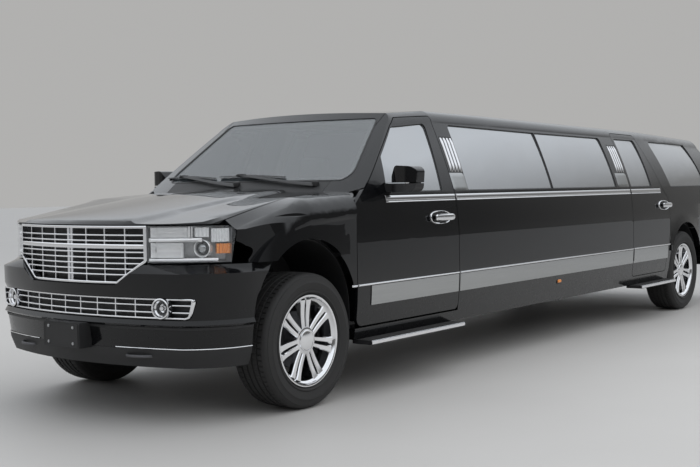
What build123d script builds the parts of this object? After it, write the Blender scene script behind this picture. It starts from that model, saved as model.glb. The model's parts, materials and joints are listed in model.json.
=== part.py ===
from build123d import *
import os
from math import sin, cos, tan, radians, hypot, pi

os.makedirs("parts", exist_ok=True)

# Stretch limousine on a full-size luxury off-roader.  Millimetres.
# The front faces -Y, the vehicle's left is +X, Z is up and the road is z = 0.
# Most places along the vehicle are given as a distance behind the front axle.

# Length
STANDARD_WHEELBASE = 3023
STRETCH = 3048
FRONT_OVERHANG = 1030          # front axle to the face of the plate bracket
REAR_OVERHANG = 1305           # rear axle to the face of the rear bumper
WHEELBASE = STANDARD_WHEELBASE + STRETCH
LENGTH = FRONT_OVERHANG + WHEELBASE + REAR_OVERHANG
FRONT_AXLE_Y = FRONT_OVERHANG - LENGTH / 2
REAR_AXLE_Y = FRONT_AXLE_Y + WHEELBASE

# Body section
SIDE_X = 1001                  # widest half-breadth of the body side
SILL_Z = 350
BELT_Z = 1256
BELT_X = 962
CANT_X = 745                   # half-breadth at the top of the side doors
DITCH_X = 700                  # black channel between roof panel and side
DOOR_WALL = 105                # whole thickness of a door below the belt
FRAME_WALL = 45                # thickness of window frames and pillars
ROOF_WALL = 45
SKIN = 22                      # outer part of a door that laps its opening
SEAM = 6                       # gap round every opening panel
FIT = 3                        # gap between fixed panels
GLASS = 6
GLASS_SET_IN = 9               # glass below the skin of its frame

# Wheels
TYRE_R = 400
TYRE_W = 280
RIM_R = 254                    # 20 inch bead seat
FLANGE_R = 272
WHEEL_X = 851
WHEEL_Z = TYRE_R
SPOKE_PAIRS = 7
HUB_R = 78
DISC_R = 168
STEER_X = 815                  # kingpin of a front wheel

# Wheel arches: centre behind the axle, centre height, lip radius
FRONT_ARCH = (-20, 545, 455)
REAR_ARCH = (8, 462, 430)
FLARE = 12                     # how far the arch rim stands proud
FLARE_BAND = 105

# Side openings, as distances behind the front axle
FRONT_DOOR_Y = 450
FRONT_DOOR_END = 1650
PILLAR_W = 200                 # finned pillar behind the front door
REAR_DOOR_Y = FRONT_DOOR_END + STRETCH + 42
REAR_DOOR_END = REAR_DOOR_Y + 910
PILLAR_Y = FRONT_DOOR_END + PILLAR_W
REAR_PILLAR_W = 290            # finned pillar ahead of the rear door
REAR_PILLAR_Y = REAR_DOOR_Y - REAR_PILLAR_W
PANE_SPLIT_Y = (PILLAR_Y + REAR_PILLAR_Y) / 2 + 38
DOOR_BOTTOM_Z = 432
GLASS_LOW_Z = 1260
GLASS_TOP_Z = 1735

# Ends of the cabin
SCREEN_Y = 458                 # foot of the windshield on the centre line
SCREEN_Z = 1310
SCREEN_RAKE = 1.338            # run back for each unit of rise
SCREEN_BOW = 2800
TAIL_Y = WHEELBASE + 1219      # tail above the bumper
TAIL_RAKE_Z = 1250             # the liftgate slopes above this height
TAIL_RAKE = 340 / 550
NOSE_Y = -965

# Bright trim
TRIM = 4
PANEL_LOW_Z = 556
PANEL_TOP_Z = 680
BELT_STRIP_Z = 1197
BELT_STRIP_H = 40


def fa(y):
    """Place along the vehicle, from a distance behind the front axle."""
    return FRONT_AXLE_Y + y


def ra(y):
    """Place along the vehicle, from a distance behind the rear axle."""
    return REAR_AXLE_Y + y


SIDE = Plane.YZ                                    # outlines seen from the left
FRONT = Plane((0, 0, 0), (1, 0, 0), (0, -1, 0))    # outlines seen from the front


def outline(corners, plane=Plane.XY):
    """Closed face from corners (u, v) or (u, v, radius of the corner).

    An entry ("via", u, v) bends the side between its neighbours into an arc.
    """
    points, bends = [], {}
    for corner in corners:
        if corner[0] == "via":
            bends[len(points) - 1] = Vector(corner[1], corner[2])
        else:
            points.append((Vector(corner[0], corner[1]), corner[2] if len(corner) > 2 else 0))
    ends = []
    for i, (p, r) in enumerate(points):
        if not r:
            ends.append((p, None, p))
            continue
        a = (points[i - 1][0] - p).normalized()
        b = (points[(i + 1) % len(points)][0] - p).normalized()
        half = radians(a.get_angle(b) / 2)
        middle = p + (a + b).normalized() * (r / sin(half) - r)
        ends.append((p + a * (r / tan(half)), middle, p + b * (r / tan(half))))
    edges = []
    for i, (start, middle, end) in enumerate(ends):
        following = ends[(i + 1) % len(ends)][0]
        if middle is not None:
            edges.append(Edge.make_three_point_arc(start, middle, end))
        if i in bends:
            edges.append(Edge.make_three_point_arc(end, bends[i], following))
        elif (following - end).length > 1e-6:
            edges.append(Edge.make_line(end, following))
    return plane * Face(Wire(edges))


def grown(corners, distance):
    """The same corners moved outward by a distance, square to both their sides."""
    turn = 0
    for i, (u, v, *_) in enumerate(corners):
        turn += corners[i - 1][0] * v - u * corners[i - 1][1]
    moved = []
    for i, (u, v, *radius) in enumerate(corners):
        before = Vector(u - corners[i - 1][0], v - corners[i - 1][1]).normalized()
        following = corners[(i + 1) % len(corners)]
        after = Vector(following[0] - u, following[1] - v).normalized()
        out = distance if turn > 0 else -distance
        shift = (before + after) * (out / (1 + before.dot(after)))
        convex = (before.X * after.Y - before.Y * after.X) * turn > 0
        radius = [max(r + (distance if convex else -distance), 1) for r in radius]
        moved.append((u + shift.Y, v - shift.X, *radius))
    return moved


def prism(corners, plane, start, end):
    """Outline swept square to its plane, from one offset to another."""
    face = outline(corners, plane.offset(start))
    return extrude(face, amount=end - start, dir=plane.z_dir)


def across(corners, x0, x1):
    """Solid with a side-view outline (y, z) between two half-breadths."""
    return prism(corners, SIDE, x0, x1)


def along(corners, y0, y1):
    """Solid with a front-view outline (x, z) between two places along Y."""
    face = outline(corners, FRONT.offset(-y0))
    return extrude(face, amount=y1 - y0, dir=(0, 1, 0))


def up(corners, z0, z1):
    """Solid with a plan outline (x, y) between two heights."""
    return prism(corners, Plane.XY, z0, z1)


def block(x0, x1, y0, y1, z0, z1):
    return Pos((x0 + x1) / 2, (y0 + y1) / 2, (z0 + z1) / 2) * Box(x1 - x0, y1 - y0, z1 - z0)


def rod(start, end, radius):
    """Round bar from one point to another."""
    start, end = Vector(start), Vector(end)
    plane = Plane(start, z_dir=end - start)
    return extrude(plane * Circle(radius), amount=(end - start).length)


def turned(profile, centre):
    """Ring turned about the X axis from corners (distance out, radius)."""
    face = outline([(a, r, *rest) for a, r, *rest in profile], Plane.XY)
    return Pos(*centre) * revolve(face, Axis.X)


def other_side(thing):
    return mirror(thing, about=Plane.YZ)


def both(thing):
    return [thing, other_side(thing)]


def half_mirrored(points, y):
    """Closed section across the vehicle from its left half, bottom to top."""
    plane = FRONT.offset(-y)
    edges = []
    for side in (1, -1):
        for start, via, end in points:
            a, b = Vector(side * start[0], start[1]), Vector(side * end[0], end[1])
            if via:
                edges.append(Edge.make_three_point_arc(a, Vector(side * via[0], via[1]), b))
            else:
                edges.append(Edge.make_line(a, b))
    return edges, plane


# Cabin: one section, its roof rising and falling along the vehicle.
# Columns: distance behind the front axle, height of the roof edge, crown above it.
ROOF = (
    (380, 1740, 54),
    (1170, 1764, 52),
    (FRONT_DOOR_END - 10, 1800, 50),
    (2450, 1797, 64),
    (REAR_DOOR_END - 150, 1766, 62),
    (WHEELBASE + 520, 1733, 57),
    (WHEELBASE + 1400, 1704, 50),
)


def cabin_section(y, edge_z, crown, low, high, top):
    """Section of the cabin, set in by three wall thicknesses."""
    edge_z -= top
    half = [
        ((955 - low, SILL_Z - 60), (989 - low, 500), (SIDE_X - low, 690)),
        ((SIDE_X - low, 690), None, (SIDE_X - 1 - low, 900)),
        ((SIDE_X - 1 - low, 900), (990 - low, 1085), (BELT_X - low, BELT_Z)),
    ]
    if low != high:
        half.append(((BELT_X - low, BELT_Z), None, (BELT_X - high, BELT_Z)))
    half += [
        ((BELT_X - high, BELT_Z), (876 - high, 1500), (775 - high, edge_z - 55)),
        ((775 - high, edge_z - 55), (CANT_X + 6 - high, edge_z - 6), (DITCH_X - high, edge_z + 30)),
    ]
    edges, plane = half_mirrored(half, y)
    roof_z = edge_z + 30
    left, right = Vector(DITCH_X - high, roof_z), Vector(high - DITCH_X, roof_z)
    edges.append(Edge.make_three_point_arc(left, Vector(0, edge_z + crown), right))
    foot = Vector(955 - low, SILL_Z - 60)
    edges.append(Edge.make_line(foot, Vector(-foot.X, foot.Y)))
    return plane * Wire(edges)


def cabin_plan(inset, y_start):
    """Plan outline of the cabin with its rounded tail."""
    x, tail = SIDE_X + FLARE + 20 - inset, fa(TAIL_Y) - inset
    return [
        (x, y_start), (x, ra(330)), (992 - inset, ra(500)), (968 - inset, tail - 75, 120),
        (880 - inset, tail - 14, 60), ("via", 0, tail + 12), (inset - 880, tail - 14, 60),
        (inset - 968, tail - 75, 120), (inset - 992, ra(500)), (-x, ra(330)), (-x, y_start),
    ]


def screen_wedge(setback):
    """Everything ahead of the windshield plane, or of one set back from it."""
    base_z, top_z = 1000, 2000
    y = fa(SCREEN_Y) + setback - (SCREEN_Z - base_z) * SCREEN_RAKE
    wide = 1200
    sag = wide ** 2 / (2 * SCREEN_BOW)
    face = outline(
        [(-wide, y - 2600), (wide, y - 2600), (wide, y + sag), ("via", 0, y), (-wide, y + sag)],
        Plane.XY.offset(base_z),
    )
    rise = top_z - base_z
    return extrude(face, amount=rise * hypot(1, SCREEN_RAKE), dir=(0, SCREEN_RAKE, 1))


def cabin_body(low, high, top, setback, screen=True):
    """Solid filling of the cabin, at given depths below its outer skin."""
    sections = [cabin_section(fa(y), z, c, low, high, top) for y, z, c in ROOF]
    solid = Solid.make_loft(sections, ruled=True)
    plan = cabin_plan(setback, fa(400))
    lower = up(plan, 200, TAIL_RAKE_Z)
    slope = extrude(
        outline(plan, Plane.XY.offset(TAIL_RAKE_Z)),
        amount=700 * hypot(1, TAIL_RAKE), dir=(0, -TAIL_RAKE, 1),
    )
    ahead = block(-1100, 1100, fa(380), fa(2400), 200, 2000)
    filling = solid & (lower + slope + ahead)
    return filling - screen_wedge(setback * hypot(1, SCREEN_RAKE)) if screen else filling


outer_body = cabin_body(0, 0, 0, 0)
lap_body = cabin_body(SKIN, SKIN, SKIN, SKIN, screen=False)
inner_side = cabin_body(DOOR_WALL, FRAME_WALL, ROOF_WALL, FRAME_WALL, screen=False)
inner_body = inner_side - screen_wedge(FRAME_WALL * hypot(1, SCREEN_RAKE))
shell = outer_body - inner_body
print("cabin shell", round(shell.volume / 1e9, 3), "m3")

# Front body: fenders, headlamps and hood come from one loft.
# Columns: distance behind the front axle, heights of the centre, of the crease
# beside it, of the seam between hood and fender, and of the fender's top.
NOSE = (
    (-1010, 1120, 1108, 1066, 1004),
    (-541, 1190, 1178, 1143, 1078),
    (0, 1262, 1250, 1238, 1228),
    (760, 1326, 1311, 1283, 1276),
)
CREASE_X, HOOD_SEAM_X, FENDER_TOP_X = 440, 800, 905
CREASE_W, CREASE_H = 40, 15    # step down from the raised middle of the hood


def nose_section(y, centre, crease, seam, top, side, roof):
    """Section of the front body, its sides and top set in."""
    half = [
        ((960 - side, 280), (991 - side, 500), (SIDE_X - side, 690)),
        ((SIDE_X - side, 690), None, (SIDE_X - 1 - side, top - 150 - roof)),
        ((SIDE_X - 1 - side, top - 150 - roof), (978 - side, top - 40 - roof),
         (FENDER_TOP_X - side, top - roof)),
        ((FENDER_TOP_X - side, top - roof), None, (HOOD_SEAM_X, seam - roof)),
        ((HOOD_SEAM_X, seam - roof), None, (CREASE_X + CREASE_W, crease - CREASE_H - roof)),
        ((CREASE_X + CREASE_W, crease - CREASE_H - roof), None, (CREASE_X, crease - roof)),
    ]
    edges, plane = half_mirrored(half, y)
    edges.append(Edge.make_three_point_arc(
        Vector(CREASE_X, crease - roof), Vector(0, centre - roof), Vector(-CREASE_X, crease - roof)))
    edges.append(Edge.make_line(Vector(960 - side, 280), Vector(side - 960, 280)))
    return plane * Wire(edges)


def nose_body(side, roof):
    sections = [nose_section(fa(row[0]), *row[1:], side, roof) for row in NOSE]
    return Solid.make_loft(sections, ruled=True)


def nose_plan(corner, centre_y, inset=0):
    """Plan outline of the nose: bow, corner, side.  corner is one of the rows below."""
    (bow_x, bow_y), (mid_x, mid_y), (end_x, end_y), (side_x, side_y) = corner
    via_x, via_y = bow_x * 0.52, centre_y + (bow_y - centre_y) * 0.27
    row = [(SIDE_X + 40 - inset, fa(900)), (SIDE_X + 40 - inset, fa(0)), (side_x - inset, fa(side_y)),
           (end_x - inset, fa(end_y)), ("via", mid_x - inset * 0.8, fa(mid_y) + inset * 0.7),
           (bow_x - inset * 0.5, fa(bow_y) + inset)]
    mirrored = [(step[0], -step[1], step[2]) if step[0] == "via" else (-step[0], step[1])
                for step in reversed(row)]
    return row + [("via", 0, fa(centre_y) + inset)] + mirrored


# Plan corners of the bumper and of the lamps above it, left half:
# end of the bow, middle of the corner, end of the corner, start of the straight side.
LOW_CORNER = ((760, -838), (893, -716), (985, -440), (1002, -180))
HIGH_CORNER = ((541, -866), (765, -730), (945, -505), (1002, -180))
LEDGE_Z = 886
HOOD_LIP_Z = 1106              # foot of the hood's front edge
LOW_GRILLE_X, LOW_GRILLE_Z0, LOW_GRILLE_Z1 = 828, 592, 706
BUMPER_FOOT_Z = 320

# The bumper and the nose above it, as stacks of those plans.
# Columns: height, how far the plan is drawn in.
BUMPER_LEVELS = (
    (BUMPER_FOOT_Z, 64), (400, 34), (546, 16), (563, 0), (LOW_GRILLE_Z0 - 5, 13), (LOW_GRILLE_Z1 + 5, 12),
    (LOW_GRILLE_Z1 + 30, 2), (840, 0),
)
NOSE_LEVELS = (
    (LEDGE_Z, 0), (HOOD_LIP_Z, 0), (HOOD_LIP_Z + 12, 6), (HOOD_LIP_Z + 22, 17), (HOOD_LIP_Z + 30, 34), (1500, 34),
)


def stacked(rows):
    """Solid through plan outlines, from rows of (height, corner, centre, inset)."""
    return Solid.make_loft([
        outline(nose_plan(corner, centre, inset), Plane.XY.offset(z)).outer_wire()
        for z, corner, centre, inset in rows], ruled=True)


nose_outer = nose_body(0, 0)
nose_inner = nose_body(52, 34)
low_rows = [(z, LOW_CORNER, NOSE_Y, inset) for z, inset in BUMPER_LEVELS]
high_rows = [(z, HIGH_CORNER, NOSE_Y + 8, inset) for z, inset in NOSE_LEVELS]
low_nose = stacked(low_rows + high_rows[:1])
high_nose = stacked(high_rows)
front_outer = nose_outer & (low_nose + high_nose)
print("front body", round(front_outer.volume / 1e9, 3), "m3")


def arch(where, axle, x0, x1, grow=0):
    """Wheel-arch opening as a solid: a half circle with straight legs."""
    offset, z, r = where
    y, r = axle + offset, r + grow
    return across([(y - r, 200), (y + r, 200), (y + r, z), ("via", y, z + r), (y - r, z)], x0, x1)


def flare(where, axle, x_out):
    """Raised rim round a wheel arch, thinning to the body at its outer edge."""
    offset, z, r = where
    band = arch(where, axle, SIDE_X - 60, x_out, FLARE_BAND) - arch(where, axle, SIDE_X - 70, x_out + 10)
    cone = Pos(SIDE_X - 10, axle + offset, z) * Rot(0, 90, 0) * Cone(
        r + FLARE_BAND + 4, r + FLARE_BAND * 0.35, x_out - SIDE_X + 10, align=(Align.CENTER,) * 2 + (Align.MIN,))
    legs = block(SIDE_X - 10, x_out, axle + offset - r - 8, axle + offset + r + 8, 200, z)
    slim = block(SIDE_X - 70, SIDE_X - 10, axle - 700, axle + 700, 200, 1400)
    return band & (cone + legs + slim)


# Side-view outlines of the openings: corners as (distance behind the front axle, z, radius).
FRONT_DOOR = (
    (FRONT_DOOR_Y, DOOR_BOTTOM_Z, 60), (FRONT_DOOR_Y, 1222, 30), (FRONT_DOOR_Y + 168, 1297, 80),
    (FRONT_DOOR_Y + 430, 1513, 400), (FRONT_DOOR_Y + 762, 1762, 50),
    (FRONT_DOOR_END, 1790, 20), (FRONT_DOOR_END, DOOR_BOTTOM_Z, 40),
)
FRONT_PANE = (
    (FRONT_DOOR_Y + 376, GLASS_LOW_Z, 10), (FRONT_DOOR_Y + 428, 1492, 30), (FRONT_DOOR_Y + 690, 1698, 30),
    (FRONT_DOOR_END - 95, GLASS_TOP_Z, 30), (FRONT_DOOR_END - 152, GLASS_LOW_Z, 20),
)
REAR_DOOR = (
    (REAR_DOOR_Y, DOOR_BOTTOM_Z, 40), (REAR_DOOR_Y, 1758, 20), (REAR_DOOR_Y + 545, 1752, 50),
    (REAR_DOOR_END - 125, 1235, 60), (REAR_DOOR_END, 1130, 120), (REAR_DOOR_END, 800, 90),
    (REAR_DOOR_END - 85, 560, 90), (REAR_DOOR_END - 95, DOOR_BOTTOM_Z, 30),
)
REAR_PANE = (
    (REAR_DOOR_Y + 40, GLASS_LOW_Z, 15), (REAR_DOOR_Y + 40, GLASS_TOP_Z - 26, 25),
    (REAR_DOOR_Y + 510, GLASS_TOP_Z - 30, 30), (REAR_DOOR_Y + 528, GLASS_LOW_Z, 20),
)
STRETCH_PANES = (
    ((PILLAR_Y, GLASS_LOW_Z, 20), (PILLAR_Y, GLASS_TOP_Z, 30),
     (PANE_SPLIT_Y - 6, GLASS_TOP_Z - 18, 6), (PANE_SPLIT_Y - 6, GLASS_LOW_Z, 6)),
    ((PANE_SPLIT_Y + 6, GLASS_LOW_Z, 6), (PANE_SPLIT_Y + 6, GLASS_TOP_Z - 18, 6),
     (REAR_PILLAR_Y, GLASS_TOP_Z - 27, 30), (REAR_PILLAR_Y, GLASS_LOW_Z, 20)),
)
QUARTER_PANE = (
    (REAR_DOOR_END + 115, GLASS_LOW_Z - 6, 30), (REAR_DOOR_END - 55, GLASS_TOP_Z - 32, 40),
    (WHEELBASE + 550, GLASS_TOP_Z - 46, 40), (WHEELBASE + 690, GLASS_LOW_Z - 6, 30),
)
PANE_FIT = 0.6                 # gap round a pane in its opening


def at(points):
    return [(fa(y), z, *r) for y, z, *r in points]


def pane(points, grow=0.0):
    """Solid across the left side inside a pane's outline."""
    return across(grown(at(points), grow), 500, 1100)


glass_outer = cabin_body(GLASS_SET_IN, GLASS_SET_IN, GLASS_SET_IN, GLASS_SET_IN)
glass_inner = cabin_body(GLASS_SET_IN + GLASS, GLASS_SET_IN + GLASS, GLASS_SET_IN + GLASS, GLASS_SET_IN + GLASS)
glass_skin = glass_outer - glass_inner
panes = {
    "front": glass_skin & pane(FRONT_PANE),
    "rear": glass_skin & pane(REAR_PANE),
    "stretch": [glass_skin & pane(p) for p in STRETCH_PANES],
    "quarter": glass_skin & pane(QUARTER_PANE),
}


def solids_of(thing):
    return list(thing.solids()) if hasattr(thing, "solids") else [s for t in thing for s in t.solids()]


def largest(thing):
    return max(thing.solids(), key=lambda s: s.volume)


# Doors: an outer skin to the seam, and an inner part set in all round.
skin_layer = outer_body - lap_body
core_layer = lap_body - inner_side - screen_wedge(SKIN)


def door(points, pane_points):
    skin = skin_layer & across(at(points), DITCH_X + 4, 1100)
    core = core_layer & across(grown(at(points), -SKIN), DITCH_X + 4, 1100)
    return skin + core - pane(pane_points, PANE_FIT)


front_door = largest(door(FRONT_DOOR, FRONT_PANE))
rear_door = largest(door(REAR_DOOR, REAR_PANE))
front_gap = across(grown(at(FRONT_DOOR), SEAM), 500, 1100)
rear_gap = across(grown(at(REAR_DOOR), SEAM), 500, 1100)
rear_arch_cut = arch(REAR_ARCH, REAR_AXLE_Y, 640, 1100)
left_side = shell & block(DITCH_X + 2, 1100, fa(380), fa(9000), 200, 2000)
left_side = left_side - front_gap - rear_gap - rear_arch_cut
for points in STRETCH_PANES + (QUARTER_PANE,):
    left_side -= pane(points, PANE_FIT)

SILL_TOP_Z = DOOR_BOTTOM_Z - 12
COWL_Z = 1236
pillar = left_side & block(500, 1100, fa(380), fa(FRONT_DOOR_END + SEAM), COWL_Z, 2000)
stretch_side = left_side & block(500, 1100, fa(FRONT_DOOR_END + SEAM), fa(REAR_DOOR_Y - SEAM), SILL_TOP_Z, 2000)
quarter = left_side & block(500, 1100, fa(REAR_DOOR_Y - SEAM), fa(9000), 200, 2000)
quarter -= block(500, 1100, fa(0), ra(0), 200, SILL_TOP_Z)
quarter -= block(500, 1100, ra(300), ra(2000), 200, 622)
FLOOR_X = 860
SILL_WALL = 150
rocker_y0, rocker_y1 = fa(FRONT_ARCH[0] + FRONT_ARCH[2] + 10), ra(REAR_ARCH[0] - REAR_ARCH[2] - 10)
rocker = (outer_body - cabin_body(SILL_WALL, SILL_WALL, 20, 20)) & block(
    700, 1100, rocker_y0, rocker_y1, SILL_Z, SILL_TOP_Z)
RAIL_TOP_Z = 450               # the floor lies on the frame rails and the sills
rocker += block(FLOOR_X - 30, FLOOR_X, fa(640), ra(-650), SILL_TOP_Z - 5, RAIL_TOP_Z)
print("sides cut")

# Windshield and its frame: front-view corners as (x, z, radius)
SCREEN = ((-830, 1336, 60), (830, 1336, 60), (672, 1762, 50), (-672, 1762, 50))
SCREEN_SET_IN = 8              # glass behind the surface of its frame, along the vehicle
screen_zone = along(SCREEN, fa(200), fa(1700))
windshield = (screen_wedge(SCREEN_SET_IN + GLASS) - screen_wedge(SCREEN_SET_IN)) & screen_zone
screen_cut = along(grown(SCREEN, PANE_FIT), fa(200), fa(1700))
pillar = largest(pillar - screen_cut)

# Liftgate: rear-view corners as (x, z, radius); its top runs forward into the roof
GATE_LOW_Z = 650
GATE_ROOF_Y = 845              # seam across the roof, behind the rear axle
GATE = ((-800, GATE_LOW_Z, 40), (800, GATE_LOW_Z, 40), (812, 1150, 40), (655, 1600, 60), (655, 1810, 5),
        (-655, 1810, 5), (-655, 1600, 60), (-812, 1150, 40))
GATE_PANE = ((-720, 1270, 50), (720, 1270, 50), (590, 1660, 50), (-590, 1660, 50))
GATE_WALL = 80
GATE_LAP = 20                  # inner part of the gate set in, so that it swings clear


def rear_view(points, grow=0.0, y0=700):
    """Solid along the tail inside a rear-view outline, from a distance behind the rear axle."""
    return along(grown(points, grow), ra(y0), ra(2000))


gate_core = lap_body - cabin_body(GATE_WALL, GATE_WALL, GATE_WALL - 10, GATE_WALL - 10)
liftgate = (skin_layer & rear_view(GATE, 0, GATE_ROOF_Y)) + (gate_core & rear_view(GATE, -GATE_LAP, GATE_ROOF_Y))
liftgate = largest(liftgate - rear_view(GATE_PANE, PANE_FIT, 900))
liftgate_glass = largest(glass_skin & rear_view(GATE_PANE, 0, 900))
PLATE_HOLE_X, REAR_PLATE_Z = 89, 1010
for x in (-PLATE_HOLE_X, PLATE_HOLE_X):
    liftgate -= Pos(x, fa(TAIL_Y), REAR_PLATE_Z) * Rot(90, 0, 0) * Cylinder(4, 80)
gate_cut = rear_view(GATE, SEAM, GATE_ROOF_Y - SEAM)
quarter = quarter - gate_cut
REAR_BUMPER_Z0, REAR_BUMPER_Z1, BUMPER_WALL = 370, 618, 60
tail_sill = shell & block(1 - DITCH_X, DITCH_X - 1, ra(900), ra(2000), REAR_BUMPER_Z1 + FIT, GATE_LOW_Z)
tail_sill = largest(tail_sill - gate_cut)

roof = shell & block(-DITCH_X + 2, DITCH_X - 2, fa(380), fa(9000), 1600, 2000)
roof = largest(roof - screen_cut - gate_cut)
cowl = shell & block(-DITCH_X, DITCH_X, fa(380), fa(1200), COWL_Z, 1400)
cowl = largest(cowl - screen_cut)

# Hood, fenders, lamps
HOOD_TO_SCREEN = 40            # hood's rear edge ahead of the windshield plane
hood_plan = []
for side in (1, -1):
    rows = [(HOOD_SEAM_X - 34, 690), (HOOD_SEAM_X, 52), (830, -694), (838, -1100)]
    if side < 0:
        rows = rows[::-1]
    hood_plan += [(side * x, fa(y)) for x, y in rows]
hood_rear = screen_wedge(-HOOD_TO_SCREEN) & block(-1100, 1100, fa(-1200), fa(900), 1000, 1500)
hood =(front_outer - nose_body(0, 34)) & up(hood_plan, HOOD_LIP_Z, 1500) & hood_rear
hood = largest(hood)
hood_cut = up(grown(hood_plan, SEAM), HOOD_LIP_Z - SEAM, 1600) & screen_wedge(SEAM - HOOD_TO_SCREEN)

lamp_outline = [(-1100, LEDGE_Z + 8), (-568, LEDGE_Z + 8), (-538, 1200), (-1100, 1200)]
lamp_box = across(at(lamp_outline), 545, 1100)
lamp_body = front_outer & lamp_box & block(0, 1100, fa(-1100), fa(-300), 800, HOOD_LIP_Z - SEAM)
lamp_back = up(nose_plan(HIGH_CORNER, NOSE_Y + 8, 150), 700, 1300)
headlamp = largest(lamp_body - lamp_back - hood_cut)

fender = (nose_outer - nose_inner) & (low_nose + high_nose)
fender_zone = across(at([
    (-541 - 40, LEDGE_Z + 4), (-541 - 8, 1130), (-760, 1130), (-760, 1500), (760, 1500), (760, 1320),
    (FRONT_DOOR_Y - SEAM, 1222 + SEAM), (FRONT_DOOR_Y - SEAM, SILL_Z), (-20, SILL_Z),
    (-20, LEDGE_Z + 4)]), 560, 1100)
fender = (fender & fender_zone) - arch(FRONT_ARCH, FRONT_AXLE_Y, 400, 1100) - hood_cut
fender = fender - across(grown(at(lamp_outline), FIT), 500, 1100)
fender = fender - outer_body - front_gap
front_rim = flare(FRONT_ARCH, FRONT_AXLE_Y, SIDE_X + FLARE)
front_rim = front_rim & block(900, 1100, fa(-476 - 60), fa(450 - SEAM), SILL_Z, 1300)
fender = largest(fender + (front_rim & block(900, 1100, fa(-600), fa(460), LEDGE_Z + 4, 1300)))
rear_rim = flare(REAR_ARCH, REAR_AXLE_Y, SIDE_X + FLARE) & block(900, 1100, fa(REAR_DOOR_END + SEAM), ra(700), 622, 1300)
quarter = largest(quarter + rear_rim)

# Bumpers, grilles
GRILLE_X, GRILLE_TOP_Z, GRILLE_SHOULDER_Z = 541, 1101, 901
GRILLE_FOOT_X, GRILLE_FOOT_Z = 359, 776
GRILLE_OUTLINE = ((-GRILLE_FOOT_X, GRILLE_FOOT_Z, 12), (GRILLE_FOOT_X, GRILLE_FOOT_Z, 12),
                  (GRILLE_X, GRILLE_SHOULDER_Z, 20), (GRILLE_X, GRILLE_TOP_Z, 14),
                  (-GRILLE_X, GRILLE_TOP_Z, 14), (-GRILLE_X, GRILLE_SHOULDER_Z, 20))
LOW_GRILLE_OUTLINE = ((-LOW_GRILLE_X + 30, LOW_GRILLE_Z0, 30), (LOW_GRILLE_X - 30, LOW_GRILLE_Z0, 30),
                      (LOW_GRILLE_X, LOW_GRILLE_Z1, 20), (-LOW_GRILLE_X, LOW_GRILLE_Z1, 20))
GRILLE_RIM, LOW_GRILLE_RIM = 22, 14
BARS, BROAD_BAR, POSTS = 9, 3, 3        # BROAD_BAR counts from the top, POSTS are those in each half
LOW_BARS, LOW_POST_PITCH = 3, 78
FOG_X, FOG_Z, FOG_R, FOG_RING = 642, 652, 47, 9
FOG_Y = NOSE_Y + 104


def bowed(x_half, centre_y, end_y, depth):
    """Slab that follows the bow of the nose, as a plan outline."""
    return [(-x_half, end_y), ("via", 0, centre_y), (x_half, end_y),
            (x_half, end_y + depth), ("via", 0, centre_y + depth), (-x_half, end_y + depth)]


def front_view(points, grow=0.0):
    """Solid through the nose inside a front-view outline."""
    return along(grown(points, grow), fa(-1200), fa(-600))


def lattice(rows, posts, x_half, z0, z1):
    """Crossing bars: rows of (height, half thickness) and posts of (place, half thickness)."""
    bars = [block(-x_half, x_half, fa(-1200), fa(-600), z - half, z + half) for z, half in rows]
    bars += [block(x - half, x + half, fa(-1200), fa(-600), z0, z1) for x, half in posts]
    return bars[0] + bars[1:]


front_bumper = nose_outer & low_nose & block(-1100, 1100, fa(-1000), fa(-60), BUMPER_FOOT_Z, LEDGE_Z)
front_bumper -= up(nose_plan(LOW_CORNER, NOSE_Y, 100), 260, 790)
front_bumper -= up(nose_plan(HIGH_CORNER, NOSE_Y + 8, 60), 780, LEDGE_Z + 40)
front_bumper -= front_view(GRILLE_OUTLINE, FIT)
front_bumper -= front_view(LOW_GRILLE_OUTLINE, FIT)
front_bumper = largest(front_bumper - both(arch(FRONT_ARCH, FRONT_AXLE_Y, 400, 1100)))

upper_slab = up(bowed(GRILLE_X + 20, fa(NOSE_Y + 8), fa(-862), 46), 700, 1200)
bars_slab = up(bowed(GRILLE_X + 20, fa(NOSE_Y + 14), fa(-856), 30), 700, 1200)
bar_pitch = (GRILLE_TOP_Z - GRILLE_FOOT_Z - 2 * GRILLE_RIM) / BARS
rows = [(GRILLE_TOP_Z - GRILLE_RIM - i * bar_pitch, 15 if i == BROAD_BAR else 5) for i in range(1, BARS)]
posts = [(side * i * GRILLE_X / (POSTS + 1), 4) for side in (-1, 1) for i in range(1, POSTS + 1)]
posts += [(-13, 7), (13, 7)]
grille = upper_slab & (front_view(GRILLE_OUTLINE) - front_view(GRILLE_OUTLINE, -GRILLE_RIM))
grille += (bars_slab & front_view(GRILLE_OUTLINE, 1 - GRILLE_RIM)) & lattice(rows, posts, 600, 700, 1200)
grille = largest(grille)
grille_back = up(bowed(GRILLE_X - 4, fa(NOSE_Y + 100), fa(-790), 12), 700, 1200) & front_view(GRILLE_OUTLINE, -8)

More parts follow.
